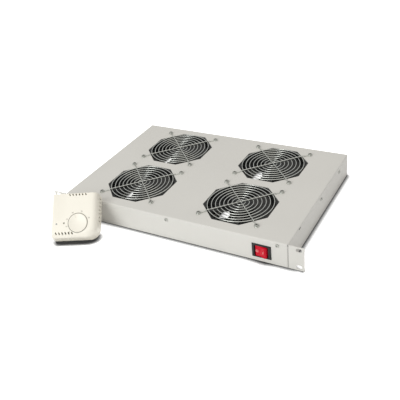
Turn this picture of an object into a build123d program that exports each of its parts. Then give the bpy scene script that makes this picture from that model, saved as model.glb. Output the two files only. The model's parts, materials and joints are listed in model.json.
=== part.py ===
from build123d import *
import math
import os

# A 19 inch rack fan tray, one unit high. Four axial fans hang under a folded steel cover, each below
# an octagonal opening and a wire finger guard, with a lit rocker switch in the front. The room
# thermostat that controls them leans against the front of the tray.
# Millimetres, X to the right, Y to the rear, Z up. The origin is the centre of the four rack slots,
# on the front face.

# Rack panel
EAR_WIDTH = 25.8
PANEL_HEIGHT = 43.6
SLOT_INSET = 8.75
RACK_PITCH = 31.75
RACK_SLOT_LENGTH = 10.0
RACK_SLOT_WIDTH = 6.8

# Case of folded sheet, with the bays that it leaves round the fans
SIDE_BAY = 56.0
MIDDLE_BAY = 79.0
FRONT_BAY = 20.25
ROW_GAP = 17.0
REAR_BAY = 17.75
SHEET = 1.2
BEND_RADIUS = 2.0
CORNER_NOTCH = 3.0
EAR_SEAM = 0.4
NEST_GAP = 0.2
SIDE_SLIT_Y = 50.0
SIDE_SLIT_LENGTH = 7.0
SIDE_SLIT_HEIGHT = 0.8
SIDE_SLIT_DROP = 2.6

# Screws that hold the two halves of the case together
CASE_SCREW_RADIUS = 1.5
CASE_SCREW_LENGTH = 6.0
CASE_HEAD_RADIUS = 3.1
CASE_HEAD_HEIGHT = 1.7
FRONT_SCREW_INSET = 17.5
FRONT_SCREW_DROP = 6.0
SIDE_SCREWS_FROM_REAR = (145.0, 50.0)
SIDE_SCREW_DROP = 10.0
TAB_WIDTH = 12.0
TAB_MARGIN = 4.0
SCREW_CLEARANCE = 0.2

# Fans
FAN_SIZE = 120.0
FAN_HEIGHT = 38.0
FAN_CORNER = 4.0
FAN_HOLE_INSET = 7.5
DUCT_WALL = 2.5
SEAT_RADIUS = 22.0
SEAT_THICKNESS = 2.5
STRUT_COUNT = 4
STRUT_ANGLE = 15.0
STRUT_WIDTH = 5.0
STRUT_HEIGHT = 4.0

# Fan motors
SHAFT_RADIUS = 2.5
SHAFT_CLEARANCE = 0.05
SHAFT_END_GAP = 0.3
BEARING_WALL = 1.6
BEARING_LENGTH = 20.0
TUBE_WALL = 2.0
STATOR_GAP = 2.0
STATOR_HEIGHT = 9.0
STATOR_LIFT = 9.0

# Impellers
HUB_RADIUS = 20.5
HUB_WALL = 2.0
HUB_DROP = 3.6
HUB_HEIGHT = 27.0
TIP_GAP = 1.7
BLADE_COUNT = 5
BLADE_THICKNESS = 1.8
BLADE_PITCH = 26.0
BLADE_CHORD = 54.0
BLADE_CAMBER = 3.5
BLADE_ROOT_WIDTH = 26.0
BLADE_TIP_WIDTH = 46.0
BLADE_SWEEP = 4.0

# Openings in the top and finger guards
OPENING_MARGIN = 0.5
OPENING_SIDES = 8
GUARD_WIRE = 1.8
GUARD_RINGS = 8
RING_FIRST = 7.5
RING_RIM = 1.0
RING_SAGITTA = 1.5
EYELET_RADIUS = 4.4
GUARD_SCREW_RADIUS = 2.0
GUARD_SCREW_LENGTH = 8.0
GUARD_HEAD_RADIUS = 3.9
GUARD_HEAD_HEIGHT = 2.2

# Air slots in the bottom
AIR_SLOTS = 4
AIR_SLOT_WIDTH = 18.0
AIR_SLOT_MARGIN = 9.0
AIR_SLOT_PITCH = 26.0

# Rocker switch
SWITCH_ASIDE = 12.1
SWITCH_Z = -1.9
BEZEL_WIDTH = 32.0
BEZEL_HEIGHT = 25.0
BEZEL_THICKNESS = 2.0
BEZEL_SIDE = 4.4
BEZEL_TOP = 2.2
SWITCH_BODY_WIDTH = 27.0
SWITCH_BODY_HEIGHT = 22.0
SWITCH_BODY_DEPTH = 18.0
SWITCH_FLOOR = 2.0
ROCKER_GAP = 0.4
ROCKER_PIVOT_Y = 3.0
ROCKER_PIN_RADIUS = 1.5
ROCKER_TILT = 12.0
ROCKER_RIDGE_X = 8.0
ROCKER_RIDGE_Y = -3.8
ROCKER_DIP_Y = -2.6
ROCKER_WAIST_X = 6.0
ROCKER_KEEL_Y = 11.0
CONTACT_WIDTH = 4.8
CONTACT_THICKNESS = 0.8
CONTACT_LENGTH = 7.0
CONTACT_SPAN_X = 12.0
CONTACT_SPAN_Z = 10.0

# Mains inlet and cable gland in the rear wall
INLET_Z = 0.0
INLET_FLANGE_WIDTH = 50.0
INLET_FLANGE_HEIGHT = 28.0
INLET_FLANGE_THICKNESS = 2.5
INLET_FLANGE_CHAMFER = 9.0
INLET_SCREW_SPAN = 40.0
INLET_BODY_WIDTH = 27.6
INLET_BODY_HEIGHT = 20.0
INLET_BODY_DEPTH = 20.0
INLET_CAVITY_WIDTH = 24.4
INLET_CAVITY_HEIGHT = 16.4
INLET_CAVITY_DEPTH = 15.0
INLET_CAVITY_CHAMFER = 4.0
INLET_PIN_LENGTH = 9.5
INLET_PIN_WIDTH = 2.0
INLET_PIN_HEIGHT = 4.0
INLET_PIN_SPAN = 14.0
INLET_PIN_DROP = 2.0
INLET_EARTH_RISE = 2.4
GLAND_Z = 0.0
GLAND_BORE = 3.5
GLAND_BARREL_RADIUS = 7.8
GLAND_BARREL_LENGTH = 9.0
GLAND_FLATS = 19.0
GLAND_COLLAR = 5.0
GLAND_DOME_FLATS = 17.0
GLAND_DOME_LENGTH = 10.0
GLAND_NUT_FLATS = 22.0
GLAND_NUT_THICKNESS = 4.0

# Wiring in the case
WIRE = 1.6
LEAD_WIDTH = 3.6
LEAD_Z = 5.2
LANE_PITCH = 4.0
LEAD_STANDOFF = 6.5
LEAD_START_Y = -14.0
LEAD_EXIT_Y = 14.0
LEAD_JOG = 20.0
SUPPLY_RISE = 12.0
NOTCH_LENGTH = 16.0
BLOCK_WIDTH = 16.0
BLOCK_LENGTH = 40.0
BLOCK_HEIGHT = 15.0
BLOCK_POLES = 5
BLOCK_PITCH = 7.6
BLOCK_SCREW_RADIUS = 2.0
BLOCK_RECESS = 4.0
STUD_ASIDE = 12.5
STUD_FROM_REAR = 55.0
STUD_RADIUS = 2.0
STUD_HEIGHT = 12.0
STUD_NUT_FLATS = 7.0
STUD_NUT_HEIGHT = 3.2

# Thermostat, modelled upright and then leaned on the tray
THERMO_WIDTH = 80.0
THERMO_HEIGHT = 77.0
THERMO_DEPTH = 30.0
THERMO_WALL = 2.5
THERMO_FACE = 4.0
THERMO_CORNER = 18.0
THERMO_EDGE = 7.0
THERMO_FIT = 0.2
THERMO_BASE = 6.0
THERMO_TURN = 25.0
THERMO_LEAN = 49.0
THERMO_INSET = 69.0
THERMO_GAP = 2.5
VENT_COUNT = 6
VENT_PITCH = 5.6
VENT_WIDTH = 2.6
VENT_HEIGHT = 5.5
VENT_SLANT = 25.0
VENT_INSET = 4.5
TOP_VENTS_X = 46.0
BOTTOM_VENTS_X = 24.0
GROOVE_COUNT = 6
GROOVE_WIDTH = 2.4
GROOVE_DEPTH = 1.0
GROOVES_DROP = 27.9
GROOVES_REACH = 10.0
DIAL_X = 47.8
DIAL_Y = 23.8
DIAL_RADIUS = 16.3
DIAL_GAP = 0.8
DIAL_RECESS = 3.0
DIAL_LIFT = 0.4
DIAL_HEIGHT = 5.6
DIAL_EDGE = 1.0
SPINDLE_RADIUS = 3.0
SPINDLE_GAP = 0.4
SPINDLE_FLOOR = 2.0
BIMETAL_WIDTH = 6.0
BIMETAL_THICKNESS = 0.8
BIMETAL_LENGTH = 30.0
THERMO_SWITCH_SIZE = 24.0
THERMO_SWITCH_HEIGHT = 14.0
THERMO_BLOCK_WIDTH = 44.0
THERMO_BLOCK_DEPTH = 12.0
THERMO_BLOCK_HEIGHT = 11.0
THERMO_BLOCK_DROP = 17.0
LAMP_X = 10.5
LAMP_Y = 23.0
LAMP_RADIUS = 1.6
LAMP_STAND = 0.4
THERMO_SCREW_X = 23.6
THERMO_SCREW_Y = 24.1
THERMO_SCREW_RADIUS = 1.2
CABLE_ENTRY_RADIUS = 4.0

# Small and hidden round things have few sides, so that the many copies stay light
FEW_SIDES = 6
SOME_SIDES = 12
HEAD_SIDES = 6
HEX_SIDES = 6
HUB_SIDES = 16
DUCT_SIDES = 24
DIAL_SIDES = 24
BLADE_FACETS = 3
EPS = 1.0

# Levels and places that follow from the sizes above
TOP = PANEL_HEIGHT / 2
FLOOR = -PANEL_HEIGHT / 2
PLATE_UNDER = TOP - SHEET
TRAY_TOP = FLOOR + SHEET
FAN_BOTTOM = PLATE_UNDER - FAN_HEIGHT
FAN_PITCH_X = FAN_SIZE + MIDDLE_BAY
FAN_PITCH_Y = FAN_SIZE + ROW_GAP
FIRST_ROW_Y = FRONT_BAY + FAN_SIZE / 2
FAN_SIDE = (FAN_PITCH_X + FAN_SIZE) / 2
HALF_CASE = FAN_SIDE + SIDE_BAY
HALF_INSIDE = HALF_CASE - SHEET
HALF_PANEL = HALF_CASE + EAR_WIDTH
CASE_DEPTH = FIRST_ROW_Y + FAN_PITCH_Y + FAN_SIZE / 2 + REAR_BAY
SIDE_SCREW_Y = [CASE_DEPTH - distance for distance in SIDE_SCREWS_FROM_REAR]
FRONT_SCREW_X = HALF_CASE - FRONT_SCREW_INSET
FAN_HOLE_SPAN = FAN_SIZE - 2 * FAN_HOLE_INSET
DUCT_RADIUS = FAN_SIZE / 2 - DUCT_WALL
RING_PITCH = (DUCT_RADIUS - RING_RIM - RING_FIRST) / (GUARD_RINGS - 1)
SWITCH_X = FAN_SIDE + SWITCH_ASIDE
BAY_X = HALF_CASE - SIDE_BAY / 2
BLOCK_Y = FIRST_ROW_Y + FAN_PITCH_Y / 2
STUD_X = BAY_X + STUD_ASIDE
STUD_Y = CASE_DEPTH - STUD_FROM_REAR
THERMO_BLOCK_Y = THERMO_HEIGHT - THERMO_BLOCK_DROP
TUBE_BORE = SHAFT_RADIUS + SHAFT_CLEARANCE + BEARING_WALL
HUB_TOP = PLATE_UNDER - HUB_DROP
HUB_BOTTOM = HUB_TOP - HUB_HEIGHT
SHAFT_FOOT = FAN_BOTTOM + SEAT_THICKNESS + SHAFT_END_GAP
SPINDLE_FOOT = THERMO_BASE + SPINDLE_FLOOR
FAN_PLACES = {
    "front_left": (-FAN_PITCH_X / 2, FIRST_ROW_Y),
    "front_right": (FAN_PITCH_X / 2, FIRST_ROW_Y),
    "rear_left": (-FAN_PITCH_X / 2, FIRST_ROW_Y + FAN_PITCH_Y),
    "rear_right": (FAN_PITCH_X / 2, FIRST_ROW_Y + FAN_PITCH_Y),
}


def prism(radius, height, sides, across_flats=False):
    """Upright prism on z = 0, its radius at the corners or at the flats."""
    return extrude(RegularPolygon(radius, sides, major_radius=not across_flats), height)


def block(width, depth, height):
    """Box centred in x and y that stands on z = 0."""
    return Box(width, depth, height, align=(Align.CENTER, Align.CENTER, Align.MIN))


def rod(radius, height):
    """Upright round rod on z = 0."""
    return Cylinder(radius, height, align=(Align.CENTER, Align.CENTER, Align.MIN))


def facing_front(x, z, y=0.0):
    """Frame on the front face, its own z pointing out of the front."""
    return Plane(origin=(x, y, z), x_dir=(1, 0, 0), z_dir=(0, -1, 0))


def facing_rear(x, z):
    """Frame on the rear face, its own z pointing out of the rear."""
    return Plane(origin=(x, CASE_DEPTH, z), x_dir=(-1, 0, 0), z_dir=(0, 1, 0))


def facing_side(side, y, z):
    """Frame on a side face, its own z pointing outwards."""
    return Plane(origin=(side * HALF_CASE, y, z), x_dir=(0, side, 0), z_dir=(side, 0, 0))


def screw(radius, length, head_radius, head_height):
    """Screw whose head stands on z = 0 and whose shank points down."""
    head = prism(head_radius, head_height, HEAD_SIDES)
    shank = Pos(0, 0, -length) * prism(radius, length, FEW_SIDES)
    return head + shank


def screw_hole(radius, depth):
    """Cutter for a screw's shank, downwards from just above z = 0."""
    return Pos(0, 0, -depth) * prism(radius + SCREW_CLEARANCE, depth + EPS, FEW_SIDES, True)


def fan_corners():
    """Screw places of one fan, from its centre."""
    half = FAN_HOLE_SPAN / 2
    return [(x, y) for x in (-half, half) for y in (-half, half)]


def case_screw_frames():
    """Frames of the three front and four side screws of the case."""
    front_z = TOP - FRONT_SCREW_DROP
    side_z = TOP - SIDE_SCREW_DROP
    frames = [facing_front(x, front_z) for x in (-FRONT_SCREW_X, 0, FRONT_SCREW_X)]
    frames += [facing_side(side, y, side_z) for side in (-1, 1) for y in SIDE_SCREW_Y]
    return frames


# Case


def folded_shell():
    """Top, front, rear and sides in one sheet, open underneath, with bent edges."""
    middle_y = CASE_DEPTH / 2
    outer = Pos(0, middle_y, FLOOR) * block(2 * HALF_CASE, CASE_DEPTH, PANEL_HEIGHT)
    outer = fillet(outer.faces().sort_by(Axis.Z)[-1].edges(), BEND_RADIUS)
    inner_depth = CASE_DEPTH - 2 * SHEET
    inner = Pos(0, middle_y, FLOOR) * block(2 * HALF_INSIDE, inner_depth, PANEL_HEIGHT - SHEET)
    inner = fillet(inner.faces().sort_by(Axis.Z)[-1].edges(), BEND_RADIUS - SHEET)
    return outer - inner


def ear(side):
    """One rack ear, bent outwards from the front of the side wall."""
    width = EAR_WIDTH + SHEET
    height = PANEL_HEIGHT - BEND_RADIUS
    middle = side * (HALF_PANEL - width / 2)
    return Pos(middle, SHEET / 2, FLOOR) * block(width, SHEET, height)


def ear_top(side):
    """The ear's upper end, beside the bend of the top."""
    middle = side * (HALF_PANEL - EAR_WIDTH / 2)
    return Pos(middle, SHEET / 2, TOP - BEND_RADIUS) * block(EAR_WIDTH, SHEET, BEND_RADIUS)


def rack_slots():
    """Cutters for the four slots in the ears."""
    slot = extrude(SlotOverall(RACK_SLOT_LENGTH, RACK_SLOT_WIDTH), SHEET + 2 * EPS)
    xs = (SLOT_INSET - HALF_PANEL, HALF_PANEL - SLOT_INSET)
    zs = (-RACK_PITCH / 2, RACK_PITCH / 2)
    return [facing_front(x, z, SHEET + EPS) * slot for x in xs for z in zs]


def corner_cuts(side):
    """Relief notch at a front corner and the seam between front and ear."""
    notch = Box(CORNER_NOTCH / 2, CORNER_NOTCH, CORNER_NOTCH)
    notch = Pos(side * (HALF_CASE - SHEET / 2), 0, TOP) * notch
    seam_x = side * (HALF_INSIDE - EAR_SEAM / 2)
    seam = Pos(seam_x, SHEET / 2, FLOOR) * block(EAR_SEAM, SHEET + EPS, PANEL_HEIGHT - SHEET)
    return [notch, seam]


def side_slit(side):
    """Short slit just under the bend between top and side."""
    slit = Box(2 * SHEET + EPS, SIDE_SLIT_LENGTH, SIDE_SLIT_HEIGHT)
    return Pos(side * HALF_CASE, SIDE_SLIT_Y, TOP - SIDE_SLIT_DROP) * slit


def opening():
    """Octagonal cutter over a fan, with flats across X and Y."""
    turned = 180 / OPENING_SIDES
    reach = FAN_SIZE / 2 - OPENING_MARGIN
    octagon = RegularPolygon(reach, OPENING_SIDES, major_radius=False, rotation=turned)
    return Pos(0, 0, PLATE_UNDER - EPS) * extrude(octagon, SHEET + 2 * EPS)


def rear_cuts():
    """Cutters for the inlet, its screws and the gland."""
    inlet = facing_rear(BAY_X, INLET_Z)
    through = Pos(0, 0, -SHEET - EPS)
    body = block(INLET_BODY_WIDTH + NEST_GAP, INLET_BODY_HEIGHT + NEST_GAP, SHEET + 2 * EPS)
    cuts = [inlet * through * body]
    for x in (-INLET_SCREW_SPAN / 2, INLET_SCREW_SPAN / 2):
        cuts.append(inlet * Pos(x, 0, 0) * screw_hole(CASE_SCREW_RADIUS, SHEET + EPS))
    barrel = prism(GLAND_BARREL_RADIUS + NEST_GAP, SHEET + 2 * EPS, SOME_SIDES)
    cuts.append(facing_rear(-BAY_X, GLAND_Z) * through * barrel)
    return cuts


def top_cover():
    """Folded cover with its ears and every opening in it."""
    cover = folded_shell()
    for side in (-1, 1):
        cover += ear(side)
        cover += ear_top(side)
    cuts = rack_slots() + rear_cuts()
    for side in (-1, 1):
        cuts += corner_cuts(side)
        cuts.append(side_slit(side))
    for x, y in FAN_PLACES.values():
        cuts.append(Pos(x, y, 0) * opening())
        for dx, dy in fan_corners():
            cuts.append(Pos(x + dx, y + dy, TOP) * screw_hole(GUARD_SCREW_RADIUS, SHEET + EPS))
    for frame in case_screw_frames():
        cuts.append(frame * screw_hole(CASE_SCREW_RADIUS, SHEET + EPS))
    switch = block(SWITCH_BODY_WIDTH + NEST_GAP, SWITCH_BODY_HEIGHT + NEST_GAP, SHEET + 2 * EPS)
    cuts.append(facing_front(SWITCH_X, SWITCH_Z, SHEET + EPS) * switch)
    return cover - cuts


def tab(frame):
    """Upright tab of the bottom cover behind one case screw."""
    outward = frame.z_dir
    inset = SHEET + NEST_GAP
    foot = frame.origin - outward * inset
    rise = foot.Z + TAB_MARGIN - FLOOR
    plate = Pos(0, SHEET / 2, 0) * block(TAB_WIDTH, SHEET, rise)
    along = outward.cross(Vector(0, 0, -1))
    upright = Plane(origin=(foot.X, foot.Y, FLOOR), x_dir=along, z_dir=(0, 0, 1))
    hole = frame * Pos(0, 0, -inset) * screw_hole(CASE_SCREW_RADIUS, SHEET + EPS)
    return upright * plate - hole


def air_slots():
    """Cutters for the rows of air slots under one fan."""
    first = -(AIR_SLOTS - 1) / 2 * AIR_SLOT_PITCH
    slot = Box(AIR_SLOT_WIDTH, FAN_SIZE - 2 * AIR_SLOT_MARGIN, 4 * SHEET)
    return [Pos(first + i * AIR_SLOT_PITCH, 0, FLOOR) * slot for i in range(AIR_SLOTS)]


def bottom_cover():
    """Flat tray inside the cover, slotted under the fans, with a tab behind each case screw."""
    width = 2 * (HALF_INSIDE - NEST_GAP)
    depth = CASE_DEPTH - 2 * (SHEET + NEST_GAP)
    plate = Pos(0, CASE_DEPTH / 2, FLOOR) * block(width, depth, SHEET)
    for frame in case_screw_frames():
        plate += tab(frame)
    cuts = []
    for x, y in FAN_PLACES.values():
        cuts += [Pos(x, y, 0) * slot for slot in air_slots()]
    return plate - cuts


def case_screws():
    """The screws that join the two halves of the case."""
    one = screw(CASE_SCREW_RADIUS, CASE_SCREW_LENGTH, CASE_HEAD_RADIUS, CASE_HEAD_HEIGHT)
    return [frame * one for frame in case_screw_frames()]


# Fans, each about its own axis


def strut(angle):
    """Bar from the motor seat to the duct."""
    length = DUCT_RADIUS + DUCT_WALL / 2 - SEAT_RADIUS / 2
    bar = Pos(SEAT_RADIUS / 2 + length / 2, 0, 0) * block(length, STRUT_WIDTH, STRUT_HEIGHT)
    return Rot(0, 0, angle) * bar


def fan_frame():
    """Square frame with the duct, the struts and the motor's seat and bearing tube."""
    square = Rectangle(FAN_SIZE, FAN_SIZE)
    frame = extrude(chamfer(square.vertices(), FAN_CORNER), FAN_HEIGHT)
    frame -= Pos(0, 0, -EPS) * prism(DUCT_RADIUS, FAN_HEIGHT + 2 * EPS, DUCT_SIDES, True)
    frame += [strut(STRUT_ANGLE + i * 360 / STRUT_COUNT) for i in range(STRUT_COUNT)]
    frame += prism(SEAT_RADIUS, SEAT_THICKNESS, SOME_SIDES)
    frame += prism(TUBE_BORE + TUBE_WALL, SEAT_THICKNESS + BEARING_LENGTH, SOME_SIDES, True)
    frame -= Pos(0, 0, SEAT_THICKNESS) * prism(TUBE_BORE, BEARING_LENGTH + EPS, SOME_SIDES, True)
    for x, y in fan_corners():
        frame -= Pos(x, y, FAN_HEIGHT) * screw_hole(GUARD_SCREW_RADIUS, FAN_HEIGHT + EPS)
    notch = block(NOTCH_LENGTH, LEAD_WIDTH + 2 * NEST_GAP, 2 * WIRE)
    frame -= Pos(-FAN_SIZE / 2, LEAD_EXIT_Y, LEAD_Z - WIRE) * notch
    return Pos(0, 0, FAN_BOTTOM) * frame


def bearing():
    """Plain bearing in the frame's tube."""
    bore = SHAFT_RADIUS + SHAFT_CLEARANCE
    sleeve = prism(TUBE_BORE, BEARING_LENGTH, SOME_SIDES, True)
    sleeve -= Pos(0, 0, -EPS) * prism(bore, BEARING_LENGTH + 2 * EPS, SOME_SIDES, True)
    return Pos(0, 0, FAN_BOTTOM + SEAT_THICKNESS) * sleeve


def stator():
    """Wound core round the bearing tube."""
    core = prism(HUB_RADIUS - HUB_WALL - STATOR_GAP, STATOR_HEIGHT, SOME_SIDES)
    core -= Pos(0, 0, -EPS) * prism(TUBE_BORE + TUBE_WALL, STATOR_HEIGHT + 2 * EPS, SOME_SIDES, True)
    return Pos(0, 0, FAN_BOTTOM + STATOR_LIFT) * core


def shaft():
    """Motor shaft, from just above the seat to the top of the hub."""
    length = HUB_TOP - HUB_WALL - SHAFT_FOOT
    return Pos(0, 0, SHAFT_FOOT) * rod(SHAFT_RADIUS, length)


def blade_band():
    """Cambered strip at the blades' pitch, running out along X."""
    half = BLADE_CHORD / 2
    points = []
    for i in range(BLADE_FACETS + 1):
        along = half * (2 * i / BLADE_FACETS - 1)
        points.append((along, BLADE_CAMBER * (1 - (along / half) ** 2)))
    upper = [(y, z + BLADE_THICKNESS) for y, z in reversed(points)]
    strip = extrude(Plane.YZ * make_face(Polyline(*points, *upper, close=True)), DUCT_RADIUS)
    return Rot(BLADE_PITCH, 0, 0) * strip


def blade():
    """One blade, widening from the hub to the tip."""
    root, tip = BLADE_ROOT_WIDTH / 2, BLADE_TIP_WIDTH / 2
    start = HUB_RADIUS - HUB_WALL
    corners = [
        (start, -root), (DUCT_RADIUS, BLADE_SWEEP - tip), (DUCT_RADIUS, BLADE_SWEEP + tip), (start, root)
    ]
    plan = extrude(make_face(Polyline(*corners, close=True)), HUB_HEIGHT, both=True)
    reach = Pos(0, 0, -HUB_HEIGHT) * prism(DUCT_RADIUS - TIP_GAP, 2 * HUB_HEIGHT, HUB_SIDES)
    return blade_band() & plan & reach


def impeller():
    """Hub that covers the motor like a cup, with the blades on it."""
    hub = prism(HUB_RADIUS, HUB_HEIGHT, HUB_SIDES)
    middle = HUB_HEIGHT / 2 - BLADE_CAMBER / 2
    hub += [Rot(0, 0, i * 360 / BLADE_COUNT) * Pos(0, 0, middle) * blade() for i in range(BLADE_COUNT)]
    hub -= Pos(0, 0, -EPS) * prism(HUB_RADIUS - HUB_WALL, HUB_HEIGHT - HUB_WALL + EPS, HUB_SIDES)
    return Pos(0, 0, HUB_BOTTOM) * hub


# Finger guards


def wire_ring(radius):
    """One ring of the guard: a ridge on a flat foot, in straight sides close to the true circle."""
    sides = 4 * math.ceil(math.pi / math.acos(1 - RING_SAGITTA / radius) / 4)
    turned = 45 + 180 / sides
    outer = RegularPolygon(radius + GUARD_WIRE / 2, sides, rotation=turned)
    inner = RegularPolygon(radius - GUARD_WIRE / 2, sides, rotation=turned)
    slope = math.degrees(math.atan(math.cos(math.pi / sides) / 2))
    past_ridge = GUARD_WIRE + EPS
    return extrude(outer, past_ridge, taper=slope) - extrude(inner, past_ridge, taper=-slope)


def guard_cross():
    """Two straight wires from corner to corner, with an eyelet at each end."""
    reach = FAN_HOLE_SPAN / math.sqrt(2)
    eyelet = prism(EYELET_RADIUS, GUARD_WIRE, FEW_SIDES)
    cross = None
    for angle in (45, 135):
        bar = Rot(0, 0, angle) * block(2 * reach, GUARD_WIRE, GUARD_WIRE)
        cross = bar if cross is None else cross + bar
    for x, y in fan_corners():
        cross += Pos(x, y, 0) * eyelet
    for x, y in fan_corners():
        cross -= Pos(x, y, GUARD_WIRE) * screw_hole(GUARD_SCREW_RADIUS, GUARD_WIRE + EPS)
    return cross


def guard():
    """Rings laid on the cross of straight wires, on top of the cover."""
    rings = [wire_ring(RING_FIRST + i * RING_PITCH) for i in range(GUARD_RINGS)]
    return [Pos(0, 0, TOP) * guard_cross()] + [Pos(0, 0, TOP + GUARD_WIRE) * ring for ring in rings]


def guard_screws():
    """The screws that hold each guard, the cover and the fan's flange together."""
    one = screw(GUARD_SCREW_RADIUS, GUARD_SCREW_LENGTH, GUARD_HEAD_RADIUS, GUARD_HEAD_HEIGHT)
    screws = []
    for x, y in FAN_PLACES.values():
        screws += [Pos(x + dx, y + dy, TOP + GUARD_WIRE) * one for dx, dy in fan_corners()]
    return screws


# Rocker switch, about its own centre, with y running into the panel


def switch_place():
    """Where the switch's centre lies on the front face."""
    return Pos(SWITCH_X, 0, SWITCH_Z)


def switch_housing():
    """Snap-in frame and body with the well that the rocker tilts in."""
    well_width = BEZEL_WIDTH - 2 * BEZEL_SIDE
    well_height = BEZEL_HEIGHT - 2 * BEZEL_TOP
    bezel = Pos(0, -BEZEL_THICKNESS / 2, 0) * Box(BEZEL_WIDTH, BEZEL_THICKNESS, BEZEL_HEIGHT)
    bezel = chamfer(bezel.faces().sort_by(Axis.Y)[0].edges(), BEZEL_THICKNESS / 2)
    body = Box(SWITCH_BODY_WIDTH, SWITCH_BODY_DEPTH, SWITCH_BODY_HEIGHT)
    body = Pos(0, SWITCH_BODY_DEPTH / 2, 0) * body
    well_depth = SWITCH_BODY_DEPTH - SWITCH_FLOOR + BEZEL_THICKNESS
    well = Pos(0, well_depth / 2 - BEZEL_THICKNESS, 0) * Box(well_width, well_depth, well_height)
    housing = bezel + body - well
    pin_span = well_height + 2 * ROCKER_GAP
    holes = prism(ROCKER_PIN_RADIUS + SHAFT_CLEARANCE, pin_span, SOME_SIDES, True)
    return switch_place() * (housing - Pos(0, ROCKER_PIVOT_Y, -pin_span / 2) * holes)


def rocker_profile():
    """Outline of the rocker seen from above, before it is tilted."""
    swing = ROCKER_PIVOT_Y * math.sin(math.radians(ROCKER_TILT))
    edge = (BEZEL_WIDTH / 2 - BEZEL_SIDE - ROCKER_GAP - swing) / math.cos(math.radians(ROCKER_TILT))
    right = [(edge, 0), (ROCKER_RIDGE_X, ROCKER_RIDGE_Y), (0, ROCKER_DIP_Y)]
    left = [(-ROCKER_RIDGE_X, ROCKER_RIDGE_Y), (-edge, 0)]
    keel = [(-ROCKER_WAIST_X, ROCKER_KEEL_Y), (ROCKER_WAIST_X, ROCKER_KEEL_Y)]
    return make_face(Polyline(*right, *left, *keel, close=True))


def switch_rocker():
    """Rocker with its two pivot pins, its left end pressed in."""
    well_height = BEZEL_HEIGHT - 2 * BEZEL_TOP
    height = well_height - 2 * ROCKER_GAP
    paddle = Pos(0, 0, -height / 2) * extrude(rocker_profile(), height)
    pin_length = well_height + ROCKER_GAP
    pins = Pos(0, ROCKER_PIVOT_Y, -pin_length / 2) * rod(ROCKER_PIN_RADIUS, pin_length)
    pivot = Pos(0, ROCKER_PIVOT_Y, 0)
    tilted = pivot * Rot(0, 0, -ROCKER_TILT) * pivot.inverse() * (paddle + pins)
    return switch_place() * tilted


def switch_contacts():
    """Four flat tabs behind the switch."""
    tab_blade = Box(CONTACT_THICKNESS, CONTACT_LENGTH, CONTACT_WIDTH)
    y = SWITCH_BODY_DEPTH + CONTACT_LENGTH / 2
    half_x, half_z = CONTACT_SPAN_X / 2, CONTACT_SPAN_Z / 2
    places = [(x, z) for x in (-half_x, half_x) for z in (-half_z, half_z)]
    return [switch_place() * Pos(x, y, z) * tab_blade for x, z in places]


# Rear wall


def power_inlet():
    """Mains inlet: flange outside the wall, body inside it, and a hollow for the plug."""
    outline = Rectangle(INLET_FLANGE_WIDTH, INLET_FLANGE_HEIGHT)
    outline = chamfer(outline.vertices(), INLET_FLANGE_CHAMFER)
    inlet = extrude(outline, INLET_FLANGE_THICKNESS)
    inlet += Pos(0, 0, -INLET_BODY_DEPTH) * block(INLET_BODY_WIDTH, INLET_BODY_HEIGHT, INLET_BODY_DEPTH)
    hollow = Rectangle(INLET_CAVITY_WIDTH, INLET_CAVITY_HEIGHT)
    hollow = chamfer(hollow.vertices().sort_by(Axis.Y)[-2:], INLET_CAVITY_CHAMFER)
    floor = INLET_FLANGE_THICKNESS - INLET_CAVITY_DEPTH
    inlet -= Pos(0, 0, floor) * extrude(hollow, INLET_CAVITY_DEPTH + EPS)
    hole = screw_hole(CASE_SCREW_RADIUS, INLET_FLANGE_THICKNESS + EPS)
    for x in (-INLET_SCREW_SPAN / 2, INLET_SCREW_SPAN / 2):
        inlet -= Pos(x, 0, INLET_FLANGE_THICKNESS) * hole
    return facing_rear(BAY_X, INLET_Z) * inlet


def inlet_pins():
    """The three flat pins in the inlet, standing on the floor of its hollow."""
    floor = INLET_FLANGE_THICKNESS - INLET_CAVITY_DEPTH
    pin = block(INLET_PIN_WIDTH, INLET_PIN_HEIGHT, INLET_PIN_LENGTH)
    half = INLET_PIN_SPAN / 2
    places = [(-half, -INLET_PIN_DROP), (0, INLET_EARTH_RISE), (half, -INLET_PIN_DROP)]
    return [facing_rear(BAY_X, INLET_Z) * Pos(x, y, floor) * pin for x, y in places]


def inlet_screws():
    """The two screws that hold the inlet."""
    one = screw(CASE_SCREW_RADIUS, CASE_SCREW_LENGTH, CASE_HEAD_RADIUS, CASE_HEAD_HEIGHT)
    xs = (-INLET_SCREW_SPAN / 2, INLET_SCREW_SPAN / 2)
    return [facing_rear(BAY_X, INLET_Z) * Pos(x, 0, INLET_FLANGE_THICKNESS) * one for x in xs]


def cable_gland():
    """Gland with its collar and dome outside the wall and its barrel through it."""
    gland = Pos(0, 0, -GLAND_BARREL_LENGTH) * prism(GLAND_BARREL_RADIUS, GLAND_BARREL_LENGTH, SOME_SIDES)
    gland += prism(GLAND_FLATS / 2, GLAND_COLLAR, HEX_SIDES, True)
    dome = prism(GLAND_DOME_FLATS / 2, GLAND_DOME_LENGTH, HEX_SIDES, True)
    dome = chamfer(dome.faces().sort_by(Axis.Z)[-1].edges(), GLAND_COLLAR / 2)
    gland += Pos(0, 0, GLAND_COLLAR) * dome
    length = GLAND_BARREL_LENGTH + GLAND_COLLAR + GLAND_DOME_LENGTH + 2 * EPS
    gland -= Pos(0, 0, -GLAND_BARREL_LENGTH - EPS) * prism(GLAND_BORE, length, SOME_SIDES, True)
    return facing_rear(-BAY_X, GLAND_Z) * gland


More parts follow.
